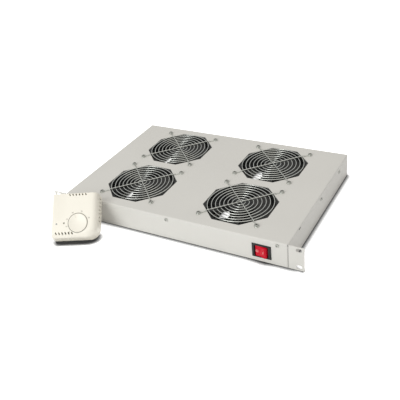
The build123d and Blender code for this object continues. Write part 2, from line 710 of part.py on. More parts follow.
def gland_nut():
    """Lock nut of the gland, inside the wall."""
    nut = prism(GLAND_NUT_FLATS / 2, GLAND_NUT_THICKNESS, HEX_SIDES, True)
    nut -= Pos(0, 0, -EPS) * prism(GLAND_BARREL_RADIUS, GLAND_NUT_THICKNESS + 2 * EPS, SOME_SIDES)
    return facing_rear(-BAY_X, GLAND_Z) * Pos(0, 0, -SHEET - GLAND_NUT_THICKNESS) * nut


# Wiring in the case


def flat_lead(points):
    """Flat twin lead along a level route, cut square at both ends."""
    outline = offset(Polyline(*points), LEAD_WIDTH / 2, kind=Kind.INTERSECTION, side=Side.BOTH)
    lead = extrude(make_face(outline), WIRE)
    for (end_x, end_y), (next_x, next_y) in (points[:2], points[:-3:-1]):
        length = math.hypot(end_x - next_x, end_y - next_y)
        reach = LEAD_WIDTH / length
        past = Pos(end_x + (end_x - next_x) * reach / 2, end_y + (end_y - next_y) * reach / 2, 0)
        turn = math.degrees(math.atan2(end_y - next_y, end_x - next_x))
        lead -= past * Rot(0, 0, turn) * block(LEAD_WIDTH, LEAD_WIDTH + EPS, WIRE)
    return lead


def fan_lead(name):
    """Lead from a motor, out through the frame's notch and between the fans to the terminal block."""
    x, y = FAN_PLACES[name]
    lanes = ("front_right", "front_left", "rear_left", "rear_right")
    lane_y = BLOCK_Y + (lanes.index(name) - (len(lanes) - 1) / 2) * LANE_PITCH
    row_x = x - FAN_SIZE / 2 - LEAD_STANDOFF
    wall_x = x - (DUCT_RADIUS + SEAT_RADIUS) / 2
    points = [
        (x - SEAT_RADIUS, y + LEAD_START_Y),
        (wall_x, y + LEAD_START_Y),
        (wall_x - LEAD_STANDOFF, y + LEAD_EXIT_Y),
        (row_x, y + LEAD_EXIT_Y),
        (row_x, lane_y),
        (BAY_X - BLOCK_WIDTH / 2, lane_y),
    ]
    return Pos(0, 0, FAN_BOTTOM + LEAD_Z - WIRE / 2) * flat_lead(points)


def supply_leads():
    """Leads from the mains inlet to the terminal block, and from there to the switch."""
    half = BLOCK_LENGTH / 2
    z = TRAY_TOP + SUPPLY_RISE
    rear = [(BAY_X, CASE_DEPTH - INLET_BODY_DEPTH), (BAY_X, BLOCK_Y + half)]
    switch_x = SWITCH_X + CONTACT_SPAN_X / 2
    contact_end = SWITCH_BODY_DEPTH + CONTACT_LENGTH
    front = [
        (switch_x, contact_end),
        (switch_x, contact_end + LEAD_JOG),
        (BAY_X, contact_end + 2 * LEAD_JOG),
        (BAY_X, BLOCK_Y - half),
    ]
    return [Pos(0, 0, z) * flat_lead(route) for route in (rear, front)]


def terminal_places():
    """Places of the terminals along the block."""
    first = -(BLOCK_POLES - 1) / 2 * BLOCK_PITCH
    return [first + i * BLOCK_PITCH for i in range(BLOCK_POLES)]


def terminal_block():
    """Row of terminals on the bottom cover, with a recess over each screw."""
    body = block(BLOCK_WIDTH, BLOCK_LENGTH, BLOCK_HEIGHT)
    for y in terminal_places():
        body -= Pos(0, y, BLOCK_HEIGHT) * screw_hole(BLOCK_SCREW_RADIUS, BLOCK_RECESS)
    return Pos(BAY_X, BLOCK_Y, TRAY_TOP) * body


def terminal_screws():
    """One screw in each terminal."""
    one = prism(BLOCK_SCREW_RADIUS, BLOCK_RECESS / 2, FEW_SIDES)
    z = TRAY_TOP + BLOCK_HEIGHT - BLOCK_RECESS
    return [Pos(BAY_X, BLOCK_Y + y, z) * one for y in terminal_places()]


def earth_stud():
    """Pressed-in stud that bonds the case to earth."""
    return Pos(STUD_X, STUD_Y, TRAY_TOP) * prism(STUD_RADIUS, STUD_HEIGHT, FEW_SIDES)


def earth_nut():
    """Nut on the earth stud."""
    nut = prism(STUD_NUT_FLATS / 2, STUD_NUT_HEIGHT, HEX_SIDES, True)
    nut -= Pos(0, 0, -EPS) * prism(STUD_RADIUS, STUD_NUT_HEIGHT + 2 * EPS, FEW_SIDES)
    return Pos(STUD_X, STUD_Y, TRAY_TOP) * nut


# Thermostat, from the lower left corner of its back, with z out of its face


def thermostat_place():
    """Frame that turns the thermostat to the left and leans its back on the tray's front edge."""
    turn, lean = math.radians(THERMO_TURN), math.radians(THERMO_LEAN)
    right = Vector(math.cos(turn), math.sin(turn), 0)
    ahead = Vector(math.sin(turn), -math.cos(turn), 0)
    out = ahead * math.cos(lean) + Vector(0, 0, math.sin(lean))
    climb = PANEL_HEIGHT * math.tan(lean)
    back = THERMO_WIDTH * right.Y - climb * ahead.Y
    slope = math.atan(-ahead.Y * math.tan(lean))
    fold = BEND_RADIUS * (1 + math.tan(slope) - 1 / math.cos(slope))
    start_x = THERMO_INSET - HALF_CASE - right.X * THERMO_WIDTH / 2
    return Plane(origin=(start_x, fold - back - THERMO_GAP, FLOOR), x_dir=right, z_dir=out)


def thermostat_outline(inset):
    """The thermostat's front view, with its one large round corner."""
    width, height = THERMO_WIDTH - 2 * inset, THERMO_HEIGHT - 2 * inset
    sheet = Pos(THERMO_WIDTH / 2, THERMO_HEIGHT / 2) * Rectangle(width, height)
    corner = sheet.vertices().sort_by(Axis.Y)[:2].sort_by(Axis.X)[-1]
    return fillet(corner, THERMO_CORNER - inset)


def vents(middle_x, y):
    """Cutters for a row of slanted vents."""
    first = middle_x - (VENT_COUNT - 1) / 2 * VENT_PITCH
    slot = Rot(0, 0, VENT_SLANT) * block(VENT_WIDTH, VENT_HEIGHT, THERMO_FACE + 2 * EPS)
    z = THERMO_DEPTH - THERMO_FACE - EPS
    return [Pos(first + i * VENT_PITCH, y, z) * slot for i in range(VENT_COUNT)]


def grooves():
    """Cutters for the short ribs of the right edge."""
    first = THERMO_HEIGHT - GROOVES_DROP - (GROOVE_COUNT - 1) / 2 * VENT_PITCH
    groove = block(GROOVES_REACH, GROOVE_WIDTH, THERMO_DEPTH)
    x = THERMO_WIDTH + GROOVES_REACH / 2 - GROOVE_DEPTH
    return [Pos(x, first + i * VENT_PITCH, THERMO_BASE) * groove for i in range(GROOVE_COUNT)]


def thermostat_cover():
    """Moulded cover with rounded right and lower edges, vents and the dial's recess."""
    cover = extrude(thermostat_outline(0), THERMO_DEPTH)
    rim = cover.faces().sort_by(Axis.Z)[-1].edges()
    sharp = rim.filter_by(Axis.X).sort_by(Axis.Y)[-1:] + rim.filter_by(Axis.Y).sort_by(Axis.X)[:1]
    rounded = [edge for edge in rim if edge not in sharp]
    cover = chamfer(rounded, THERMO_EDGE)
    inside = THERMO_DEPTH - THERMO_FACE
    cover -= Pos(0, 0, -EPS) * extrude(thermostat_outline(THERMO_WALL), inside + EPS)
    cuts = vents(TOP_VENTS_X, THERMO_HEIGHT - VENT_INSET) + vents(BOTTOM_VENTS_X, VENT_INSET)
    cuts += grooves()
    recess = prism(DIAL_RADIUS + DIAL_GAP, DIAL_RECESS + EPS, DIAL_SIDES)
    cuts.append(Pos(DIAL_X, DIAL_Y, THERMO_DEPTH - DIAL_RECESS) * recess)
    spindle = prism(SPINDLE_RADIUS + SPINDLE_GAP, THERMO_DEPTH, SOME_SIDES, True)
    cuts.append(Pos(DIAL_X, DIAL_Y, THERMO_BASE) * spindle)
    cuts.append(Pos(LAMP_X, LAMP_Y, THERMO_BASE) * prism(LAMP_RADIUS, THERMO_DEPTH, SOME_SIDES))
    screw_bore = prism(THERMO_SCREW_RADIUS, THERMO_DEPTH, FEW_SIDES)
    cuts.append(Pos(THERMO_SCREW_X, THERMO_SCREW_Y, THERMO_BASE) * screw_bore)
    return cover - cuts


def thermostat_base():
    """Wall plate in the cover's open back, with the cable entry."""
    base = extrude(thermostat_outline(THERMO_WALL + THERMO_FIT), THERMO_BASE)
    entry = Pos(THERMO_WIDTH / 2, THERMO_BLOCK_Y - THERMO_BLOCK_DEPTH, -EPS)
    return base - entry * prism(CABLE_ENTRY_RADIUS, THERMO_BASE + 2 * EPS, SOME_SIDES)


def thermostat_dial():
    """Round knob in the cover's recess."""
    knob = prism(DIAL_RADIUS, DIAL_HEIGHT, DIAL_SIDES)
    knob = chamfer(knob.faces().sort_by(Axis.Z)[-1].edges(), DIAL_EDGE)
    return Pos(DIAL_X, DIAL_Y, THERMO_DEPTH - DIAL_RECESS + DIAL_LIFT) * knob


def thermostat_spindle():
    """Spindle from the knob down into the switch block."""
    top = THERMO_DEPTH - DIAL_RECESS + DIAL_LIFT
    return Pos(DIAL_X, DIAL_Y, SPINDLE_FOOT) * rod(SPINDLE_RADIUS, top - SPINDLE_FOOT)


def thermostat_switch():
    """Switch block on the base that the spindle turns in."""
    body = block(THERMO_SWITCH_SIZE, THERMO_SWITCH_SIZE, THERMO_SWITCH_HEIGHT)
    bore = prism(SPINDLE_RADIUS + SHAFT_CLEARANCE, THERMO_SWITCH_HEIGHT, SOME_SIDES, True)
    body -= Pos(0, 0, SPINDLE_FOOT - THERMO_BASE - SHAFT_CLEARANCE) * bore
    return Pos(DIAL_X, DIAL_Y, THERMO_BASE) * body


def thermostat_bimetal():
    """Strip that bends with the room's warmth, held in the switch block's side."""
    x = DIAL_X - THERMO_SWITCH_SIZE / 2 - BIMETAL_LENGTH / 2
    strip = Box(BIMETAL_LENGTH, BIMETAL_THICKNESS, BIMETAL_WIDTH)
    return Pos(x, DIAL_Y + THERMO_SWITCH_SIZE / 4, THERMO_BASE + THERMO_SWITCH_HEIGHT / 2) * strip


def thermostat_terminals():
    """Terminals above the switch block, for the cable from the wall."""
    body = block(THERMO_BLOCK_WIDTH, THERMO_BLOCK_DEPTH, THERMO_BLOCK_HEIGHT)
    return Pos(THERMO_WIDTH / 2, THERMO_BLOCK_Y, THERMO_BASE) * body


def thermostat_lamp():
    """Small pilot lamp, from the base to just above the face."""
    height = THERMO_DEPTH + LAMP_STAND - THERMO_BASE
    return Pos(LAMP_X, LAMP_Y, THERMO_BASE) * prism(LAMP_RADIUS, height, SOME_SIDES)


def thermostat_screw():
    """Screw that holds the cover, sunk a little into the face."""
    height = THERMO_DEPTH - LAMP_STAND - THERMO_BASE
    one = prism(THERMO_SCREW_RADIUS, height, FEW_SIDES)
    return Pos(THERMO_SCREW_X, THERMO_SCREW_Y, THERMO_BASE) * one


# Assembly


def at_fan(name, shapes):
    """A fan's piece, or its several solids, moved to that fan's place."""
    x, y = FAN_PLACES[name]
    shapes = shapes if isinstance(shapes, list) else [shapes]
    return [Pos(x, y, 0) * shape for shape in shapes]


def build_nodes():
    """Every node's solids by name."""
    nodes = {
        "top_cover": top_cover(),
        "bottom_cover": bottom_cover(),
        "case_screws": case_screws(),
        "guard_screws": guard_screws(),
        "fan_bearings": [Pos(x, y, 0) * bearing() for x, y in FAN_PLACES.values()],
        "switch_housing": switch_housing(),
        "switch_rocker": switch_rocker(),
        "switch_contacts": switch_contacts(),
        "power_inlet": power_inlet(),
        "inlet_pins": inlet_pins(),
        "inlet_screws": inlet_screws(),
        "cable_gland": cable_gland(),
        "gland_nut": gland_nut(),
        "terminal_block": terminal_block(),
        "terminal_screws": terminal_screws(),
        "supply_leads": supply_leads(),
        "earth_stud": earth_stud(),
        "earth_nut": earth_nut(),
    }
    for name in FAN_PLACES:
        nodes["fan_frame_" + name] = at_fan(name, fan_frame())
        nodes["stator_" + name] = at_fan(name, stator())
        nodes["shaft_" + name] = at_fan(name, shaft())
        nodes["impeller_" + name] = at_fan(name, impeller())
        nodes["guard_" + name] = at_fan(name, guard())
        nodes["fan_leads_" + name] = fan_lead(name)
    place = thermostat_place()
    for make in (
        thermostat_base, thermostat_cover, thermostat_dial, thermostat_spindle, thermostat_switch,
        thermostat_bimetal, thermostat_terminals, thermostat_lamp, thermostat_screw,
    ):
        nodes[make.__name__] = place * make()
    return nodes


def write_nodes(nodes):
    """Write one STEP file for each node."""
    os.makedirs("parts", exist_ok=True)
    for name, shapes in nodes.items():
        shapes = shapes if isinstance(shapes, list) else [shapes]
        solids = [solid for shape in shapes for solid in shape.solids()]
        export_step(solids[0] if len(solids) == 1 else Compound(children=solids), f"parts/{name}.step")


write_nodes(build_nodes())
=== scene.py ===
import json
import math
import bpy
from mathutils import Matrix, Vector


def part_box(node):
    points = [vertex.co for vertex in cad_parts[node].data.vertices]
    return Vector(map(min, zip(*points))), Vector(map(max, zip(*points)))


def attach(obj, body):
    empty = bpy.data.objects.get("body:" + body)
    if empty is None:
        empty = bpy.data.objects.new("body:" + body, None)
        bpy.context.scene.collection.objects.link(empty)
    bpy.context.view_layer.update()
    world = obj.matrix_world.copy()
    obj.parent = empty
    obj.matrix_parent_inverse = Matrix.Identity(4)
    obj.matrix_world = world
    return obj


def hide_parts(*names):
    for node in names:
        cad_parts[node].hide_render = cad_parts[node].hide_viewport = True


bl_info = {
    "name": "Rack fan tray",
    "version": (1, 0, 0),
    "blender": (4, 5, 0),
    "location": "View3D > Sidebar > Fan tray",
    "description": "Dresses the four-fan rack tray and its room thermostat around their CAD frame",
    "category": "Object",
}

from functools import partial

import bmesh
import bpy
from bpy.props import FloatProperty, FloatVectorProperty, IntProperty, PointerProperty
from mathutils import Matrix, Vector

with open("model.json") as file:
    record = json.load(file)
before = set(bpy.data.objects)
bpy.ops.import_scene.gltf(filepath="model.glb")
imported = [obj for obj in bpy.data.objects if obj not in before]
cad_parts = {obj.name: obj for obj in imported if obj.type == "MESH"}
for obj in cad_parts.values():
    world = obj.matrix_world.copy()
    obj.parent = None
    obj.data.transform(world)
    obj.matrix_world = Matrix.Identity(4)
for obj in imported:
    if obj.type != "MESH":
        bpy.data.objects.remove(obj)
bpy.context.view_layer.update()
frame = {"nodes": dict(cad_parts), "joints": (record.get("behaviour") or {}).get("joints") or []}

MM = 0.001
STEP_RUN = 4 * MM  # over which a guard's straight wires step down
BLADE_ROOT = 1 * MM  # how deep a blade stands in its hub
HUB_WALL = 2 * MM
SEAT_RADIUS = 22 * MM
SEAT_THICKNESS = 2.5 * MM
BEARING_TUBE = (6.2 * MM, 22 * MM)  # radius and height
STRUT = (16 * MM, 5 * MM, 4 * MM)  # start, width and height
STRUT_ANGLE = 15
MARK_X = 5.6 * MM  # from the rocker's middle to its marks
MARK_HEIGHT = 0.25 * MM
THERMOSTAT_LAMP = (10.5 * MM, 23 * MM, 0)
THERMOSTAT_SCREW = (23.6 * MM, 24.1 * MM, 0)
THERMOSTAT_BASE = 6 * MM
DIAL_GAP = 1.1 * MM
OVER = 1 * MM  # how far what cuts stands out of what it cuts
TRAY = "tray"
SPIN = "fan_spin_"
JOINTS = {joint["name"]: joint for joint in frame["joints"]}
FANS = {name[len(SPIN):]: Vector(joint["pos_m"]) for name, joint in JOINTS.items() if name.startswith(SPIN)}
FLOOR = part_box("bottom_cover")[0].z
TOP = -FLOOR
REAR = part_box("top_cover")[1].y


def srgb(code):
    """An sRGB hex colour as linear RGBA."""
    shares = [int(code[i:i + 2], 16) / 255 for i in (0, 2, 4)]
    return [s / 12.92 if s <= 0.04045 else ((s + 0.055) / 1.055) ** 2.4 for s in shares] + [1.0]


def length(label, millimetres):
    """A length that the user may change, given in millimetres."""
    return FloatProperty(name=label, default=millimetres * MM, unit="LENGTH", precision=5)


def angle(label, degrees):
    """An angle that the user may change, given in degrees."""
    return FloatProperty(name=label, default=math.radians(degrees), unit="ROTATION")


def count(label, number):
    """A number of pieces that the user may change."""
    return IntProperty(name=label, default=number, min=1, max=400)


def colour(label, code):
    """A colour that the user may change, given as sRGB hex."""
    return FloatVectorProperty(name=label, default=srgb(code), subtype="COLOR", size=4, min=0.0, max=1.0)


class FanTrayColours(bpy.types.PropertyGroup):
    """Colours of the finishes."""

    coat: colour("Light grey powder coat of the sheet", "D6D4CE")
    wire: colour("Bright nickel plate of the finger guards", "D2D4CE")
    zinc: colour("Blue-white zinc of the screws", "A9AAA4")
    cast: colour("Black paint on the die-cast fan frames", "141514")
    blade: colour("Black glass-filled plastic of the impellers", "1A1B1B")
    housing: colour("Black nylon of the switch and the inlet", "101211")
    lens: colour("Red polycarbonate of the lit rocker", "B8001F")
    mark: colour("Pale print on the rocker", "F2B8B4")
    cream: colour("Cream white ABS of the thermostat", "F2EDE0")
    # The grey ink also paints the shade in the dial's gap, as a dark ring.
    ink: colour("Grey print round the dial", "8E8A7E")
    sleeve: colour("White PVC of the fan leads", "E6E8E2")
    steel: colour("Varnished silicon steel of the motor core", "4A4744")
    bronze: colour("Sintered bronze of the bearings", "8F6F45")
    brass: colour("Bare brass of the contacts", "C9A86A")
    nylon: colour("Light grey polyamide", "9A9D9B")
    # The same black also paints the shade in the ear seams, relief holes and notches.
    rubber: colour("Black rubber", "1E1E1E")


class FanTrayGuards(bpy.types.PropertyGroup):
    """Sizes of the finger guards."""

    wire: length("Diameter of the guard's wire", 1.65)
    step: length("Radius at which the straight wires begin to step down", 60.0)
    rings: count("Rings in each guard", 8)
    first: length("Radius of the smallest ring", 7.5)
    pitch: length("From one ring to the next", 7.0)
    span: length("Between the guard's screws along one side", 105.0)
    eyelet: length("Radius of the bent eye at each corner", 3.5)


class FanTrayScrews(bpy.types.PropertyGroup):
    """Sizes of the pan-head screws."""

    head: length("Radius of the guard screws' heads", 3.5)
    rise: length("Height of the guard screws' heads", 2.2)
    shank: length("Radius of the guard screws' shanks", 2.0)
    reach: length("Length of the guard screws' shanks", 8.0)
    case_head: length("Radius of the case screws' heads", 3.1)
    case_rise: length("Height of the case screws' heads", 1.7)
    case_shank: length("Radius of the case screws' shanks", 1.5)
    case_reach: length("Length of the case screws' shanks", 6.0)
    front_x: length("From the middle to the outer front screws", 198.0)
    front_drop: length("From the top down to the front screws", 6.0)
    side_x: length("From the middle to the side walls", 215.5)
    side_drop: length("From the top down to the side screws", 10.0)
    side_front_y: length("From the front to the first side screw", 150.0)
    side_rear_y: length("From the front to the second side screw", 245.0)
    inlet_x: length("From the middle to the mains inlet", 187.5)
    inlet_span: length("Between the inlet's screws", 40.0)
    inlet_flange: length("Thickness of the inlet's flange", 2.5)


class FanTrayFans(bpy.types.PropertyGroup):
    """Sizes of the fans."""

    size: length("Width of the square frame", 120.0)
    depth: length("Depth of the fan", 38.0)
    corner: length("Radius of the frame's corners", 4.0)
    duct: length("Radius of the duct", 57.5)
    flare: length("How far the duct's mouth widens", 1.6)
    hub: length("Radius of the impeller's hub", 20.5)
    hub_height: length("Height of the hub", 27.0)
    tip: length("Radius of the blade tips", 55.8)
    blades: count("Blades on each hub", 5)
    pitch: angle("Pitch of the blades", 26.0)
    turn: angle("Where the first blade stands at rest", 45.0)
    chord: length("Chord of the blades", 54.0)
    camber: length("Rise of the blades' arc", 3.5)
    thickness: length("Thickness of the blades", 1.8)
    root_width: length("Width of a blade at the hub", 26.0)
    tip_width: length("Width of a blade at the tip", 46.0)
    sweep: length("How far the tip runs ahead", 4.0)
    lead: length("Diameter of one wire of the leads", 1.6)


class FanTraySwitch(bpy.types.PropertyGroup):
    """Sizes of the rocker switch."""

    height: length("Height of the rocker", 19.8)
    edge: length("From the rocker's middle to its ends", 10.6)
    ridge_x: length("From the middle to the ridges", 8.0)
    ridge_y: length("How far the ridges stand out", 3.8)
    dip_y: length("How far the middle stands out", 2.6)
    waist: length("Half width of the rocker's foot", 6.0)
    keel: length("Depth of the rocker's foot", 11.0)
    pivot: length("From the panel to the pivot", 3.0)
    tilt: angle("Angle at which the rocker rests", 12.0)


class FanTrayThermostat(bpy.types.PropertyGroup):
    """Sizes of the room thermostat."""

    width: length("Width of the cover", 80.0)
    height: length("Height of the cover", 77.0)
    depth: length("Depth of the cover", 30.0)
    wall: length("Thickness of the cover", 2.5)
    corner: length("Radius of the large corner", 18.0)
    edge: length("Reach of the rounded right and lower edges", 9.8)
    bevel: length("Reach of the bevel on the left edge", 4.2)
    dial_x: length("From the left edge to the dial", 47.8)
    dial_y: length("From the lower edge to the dial", 23.8)
    dial: length("Radius of the dial", 16.3)
    recess: length("Depth of the dial's recess", 3.0)
    marks: length("Radius on which the numbers stand", 20.4)
    vents: count("Vents in each row", 6)
    vent_pitch: length("From one vent to the next", 5.6)


class FanTrayStage(bpy.types.PropertyGroup):
    """Camera and lights."""

    lens: FloatProperty(name="Focal length", default=53.83, min=10.0, unit="CAMERA")
    key: FloatProperty(name="Power of the large front light", default=24.0, unit="POWER")
    fill: FloatProperty(name="Power of the light above", default=4.0, unit="POWER")
    sky: FloatProperty(name="Strength of the even light from all round", default=0.6, min=0.0)


GROUPS = {
    "colours": FanTrayColours,
    "guards": FanTrayGuards,
    "screws": FanTrayScrews,
    "fans": FanTrayFans,
    "switch": FanTraySwitch,
    "thermostat": FanTrayThermostat,
    "stage": FanTrayStage,
}


class FanTraySettings(bpy.types.PropertyGroup):
    """Everything that the user may change."""

    __annotations__ = {name: PointerProperty(type=group) for name, group in GROUPS.items()}


def settings():
    """The settings of the scene."""
    return bpy.context.scene.fan_tray


PREFIXES = ("GeometryNode", "ShaderNode", "FunctionNode")


def add(tree, kind, *values, **named):
    """Add a node. Plain values and capitalised names fill its sockets, the other names set its options."""
    node = tree.nodes.new(next(prefix + kind for prefix in PREFIXES if hasattr(bpy.types, prefix + kind)))
    sockets = dict(enumerate(values))
    for name, value in named.items():
        if name[0].isupper():
            sockets[name.replace("_", " ")] = value
        else:
            setattr(node, name, value)
    for key, value in sockets.items():
        if isinstance(value, bpy.types.Node):
            value = value.outputs[0]
        if isinstance(value, bpy.types.NodeSocket):
            tree.links.new(value, node.inputs[key])
        else:
            node.inputs[key].default_value = value
    return node


# Finishes


def new_material(name):
    """An empty material, its tree, and what adds a node to that tree."""
    material = bpy.data.materials.new(name)
    material.use_nodes = True
    tree = material.node_tree
    tree.nodes.clear()
    return material, tree, partial(add, tree)


def noise(node, size, detail, stretch=(1.0, 1.0, 1.0)):
    """Noise in the piece's own coordinates, its features about size millimetres wide."""
    place = node("Mapping", Vector=node("TexCoord").outputs["Object"], Scale=stretch)
    return node("TexNoise", Vector=place, Scale=1 / (size * MM), Detail=detail)


def shade(base, factor):
    """A colour made lighter or darker."""
    return [min(1.0, channel * factor) for channel in base[:3]] + [1.0]


def finish(name, base, roughness, clouds=None, gloss=None, grain=None, stretch=(1.0, 1.0, 1.0), **sockets):
    """A material. Its colour and its roughness drift in clouds of a size, each between two limits, over a
    grain of a size and a depth. Sizes are in millimetres."""
    material, tree, node = new_material(name)
    shader = node("BsdfPrincipled", Base_Color=list(base), Roughness=roughness, **sockets)
    node("OutputMaterial", Surface=shader)
    drift = {"From_Min": 0.3, "From_Max": 0.7}
    if clouds:
        share = node("MapRange", Value=noise(node, clouds[0], 2.0), **drift)
        low, high = (shade(base, factor) for factor in clouds[1:])
        mix = node("Mix", Factor=share, A=low, B=high, data_type="RGBA")
        tree.links.new(mix.outputs["Result"], shader.inputs["Base Color"])
    if gloss:
        size, low, high = gloss
        share = node("MapRange", Value=noise(node, size, 2.0), To_Min=low, To_Max=high, **drift)
        tree.links.new(share.outputs[0], shader.inputs["Roughness"])
    if grain:
        emboss(material, noise(node, grain[0], 3.0, stretch), grain[1])
    return material


def emboss(material, height, depth):
    """Raise a material's surface by a pattern, depth millimetres deep."""
    tree = material.node_tree
    bump = add(tree, "Bump", Height=height, Distance=depth * MM, Strength=1.0)
    tree.links.new(bump.outputs[0], tree.nodes["Principled BSDF"].inputs["Normal"])


def laminated_steel(base):
    """Stacked silicon steel sheets under varnish."""
    material = finish("laminated_steel", base, 0.5, clouds=(4, 0.8, 1.2), Metallic=0.8)
    node = partial(add, material.node_tree)
    place = node("TexCoord").outputs["Object"]
    emboss(material, node("TexWave", Vector=place, Scale=160.0, bands_direction="Z"), 0.1)
    return material


def make_materials():
    """Every finish of the object by its short name."""
    c = settings().colours
    print_drift, sleeve_drift, metal_drift = (1.5, 0.9, 1.1), (8, 0.94, 1.04), (3, 0.8, 1.1)
    glow = {"Emission_Color": list(c.lens), "Emission_Strength": 0.2, "IOR": 1.585, "Specular_IOR_Level": 0.08}
    return {
        # Textured polyester powder on steel: satin, with a fine orange peel that breaks up its reflections.
        "coat": finish("powder_coated_steel", c.coat, 0.55, (90, 0.985, 1.015), None, (1.6, 0.02),
                       Specular_IOR_Level=0.35),
        # Bright nickel over drawn wire: nearly a mirror, with a slight waviness along the wire.
        "wire": finish("nickel_plated_wire", c.wire, 0.2, gloss=(5, 0.16, 0.3), Metallic=1.0),
        # Blue passivated zinc: a soft metal shine that is cloudy from bath to bath.
        "zinc": finish("zinc_plated_steel", c.zinc, 0.45, (2, 0.88, 1.06), Metallic=0.8),
        # Black paint over die-cast aluminium: even and satin, with the sandy skin of the casting under it.
        "cast": finish("painted_die_cast_aluminium", c.cast, 0.48, (12, 0.8, 1.3), None, (1.2, 0.06)),
        # Moulded PBT with glass fibre: satin, with faint flow lines from the gate.
        "blade": finish("glass_filled_pbt", c.blade, 0.36, None, (9, 0.3, 0.46), (2.5, 0.03), (1.0, 1.0, 0.3)),
        # Spark-eroded nylon 66: matt black with a fine even grain.
        "housing": finish("moulded_nylon", c.housing, 0.5, (6, 0.85, 1.25), None, (0.7, 0.02),
                          Specular_IOR_Level=0.3),
        # Clear red polycarbonate with a neon lamp behind it: glossy, and glowing a little.
        "lens": finish("lit_red_polycarbonate", c.lens, 0.16, (7, 0.92, 1.1), **glow),
        # Pad-printed ink: thin and matt, a little patchy. The grey dial ink also lies as a dark ring in the
        # dial's gap, where it is painted shade.
        "mark": finish("rocker_print", c.mark, 0.6, print_drift),
        "ink": finish("dial_print_and_gap_shade", c.ink, 0.6, print_drift),
        # Moulded ABS: warm white and satin, with a fine spark-eroded grain.
        "cream": finish("moulded_abs", c.cream, 0.38, (30, 0.99, 1.01), None, (0.9, 0.015)),
        # Extruded PVC: smooth with a waxy shine.
        "sleeve": finish("white_pvc_sleeve", c.sleeve, 0.35, sleeve_drift),
        "black_sleeve": finish("black_pvc_sleeve", c.housing, 0.35, sleeve_drift),
        # Silicon steel sheets: a dull metal with a line at each sheet.
        "steel": laminated_steel(c.steel),
        # Bare metal that has tarnished a little, in clouds.
        "bronze": finish("sintered_bronze", c.bronze, 0.5, metal_drift, Metallic=1.0),
        "brass": finish("bare_brass", c.brass, 0.28, metal_drift, Metallic=1.0),
        # Moulded polyamide: light grey and semi-matt.
        "nylon": finish("moulded_polyamide", c.nylon, 0.45, (6, 0.93, 1.06), None, (0.8, 0.02)),
        # Moulded chloroprene rubber: dull and nearly black. The same black also paints the shade in the ear
        # seams, relief holes and notches.
        "rubber": finish("seal_rubber", c.rubber, 0.75, (2, 0.8, 1.3)),
    }


MATERIALS = {}

# What the names of the CAD nodes start with, and their finish. The first that fits is used.
NODE_FINISHES = {
    "top_cover": "coat", "bottom_cover": "coat", "guard_screws": "zinc", "guard_": "wire",
    "case_screws": "zinc", "inlet_screws": "zinc", "fan_frame": "cast", "impeller": "blade", "stator": "steel",
    "shaft": "zinc", "fan_bearings": "bronze", "fan_leads": "sleeve", "supply_leads": "black_sleeve",
    "switch_housing": "housing", "switch_rocker": "lens", "switch_contacts": "brass", "power_inlet": "housing",
    "inlet_pins": "brass", "cable_gland": "nylon", "gland_nut": "nylon", "terminal_block": "nylon",
    "terminal_screws": "zinc", "earth_": "brass", "thermostat_lamp": "nylon", "thermostat_screw": "zinc",
    "thermostat_bimetal": "brass", "thermostat_switch": "nylon", "thermostat_terminals": "nylon",
    "thermostat_": "cream",
}


# Shapes


def new_piece(name, mesh):
    """A new object in the scene."""
    piece = bpy.data.objects.new(name, mesh)
    bpy.context.scene.collection.objects.link(piece)
    return piece


def from_bmesh(name, bm):
    """An object from a bmesh, smooth but for its sharp edges."""
    bmesh.ops.remove_doubles(bm, verts=bm.verts, dist=1e-6)
    bmesh.ops.recalc_face_normals(bm, faces=bm.faces)
    mesh = bpy.data.meshes.new(name)
    bm.to_mesh(mesh)
    bm.free()
    return new_piece(name, smooth(mesh))


def smooth(mesh, sharp=40.0):
    """Shade a mesh smooth but for edges sharper than an angle in degrees."""
    mesh.polygons.foreach_set("use_smooth", [True] * len(mesh.polygons))
    mesh.set_sharp_from_angle(angle=math.radians(sharp))
    return mesh


def mesh_of(piece):
    """The mesh that an object comes to with its modifiers."""
    return bpy.data.meshes.new_from_object(piece.evaluated_get(bpy.context.evaluated_depsgraph_get()))


def bake(piece):
    """Turn what the modifiers make into the piece's plain mesh."""
    mesh = mesh_of(piece)
    piece.modifiers.clear()
    piece.data = mesh
    return piece


def plain(holder):
    """The mesh of a curve or a text, which is removed."""
    mesh = mesh_of(holder)
    bpy.data.objects.remove(holder)
    return mesh


def cut(piece, *cutters):
    """Cut pieces out of a piece, and remove them."""
    for cutter in cutters:
        modifier = piece.modifiers.new("cut", "BOOLEAN")
        modifier.solver = "EXACT"
        modifier.object = cutter
    bake(piece)
    for cutter in cutters:
        bpy.data.objects.remove(cutter)
    smooth(piece.data)
    return piece


def join(piece, *others):
    """Put other pieces' meshes into one piece."""
    bm = bmesh.new()
    for part in (piece, *others):
        bm.from_mesh(part.data)
    bm.to_mesh(piece.data)
    bm.free()
    for other in others:
        bpy.data.objects.remove(other)
    smooth(piece.data)
    return piece


def moved(piece, place, degrees=0, axis="Z"):
    """Turn a piece about an axis through the origin, and then move it."""
    piece.data.transform(Matrix.Translation(place) @ Matrix.Rotation(math.radians(degrees), 4, axis))
    return piece


def lathe(name, profile, segments=64, closed=False):
    """Solid of revolution about z from pairs of radius and height."""
    bm = bmesh.new()
    rings = []
    for radius, height in profile:
        if radius < 1e-7:
            rings.append([bm.verts.new((0, 0, height))])
            continue
        turns = [2 * math.pi * i / segments for i in range(segments)]
        rings.append([bm.verts.new((radius * math.cos(t), radius * math.sin(t), height)) for t in turns])
    pairs = list(zip(rings, rings[1:] + rings[:1])) if closed else list(zip(rings, rings[1:]))
    for low, high in pairs:
        for i in range(segments):
            j = (i + 1) % segments
            corners = [low[i % len(low)], low[j % len(low)], high[j % len(high)], high[i % len(high)]]
            corners = list(dict.fromkeys(corners))
            if len(corners) > 2:
                bm.faces.new(corners)
    return from_bmesh(name, bm)


def drum(name, radius, low, high, segments):
    """Upright cylinder."""
    return lathe(name, [(0, low), (radius, low), (radius, high), (0, high)], segments)


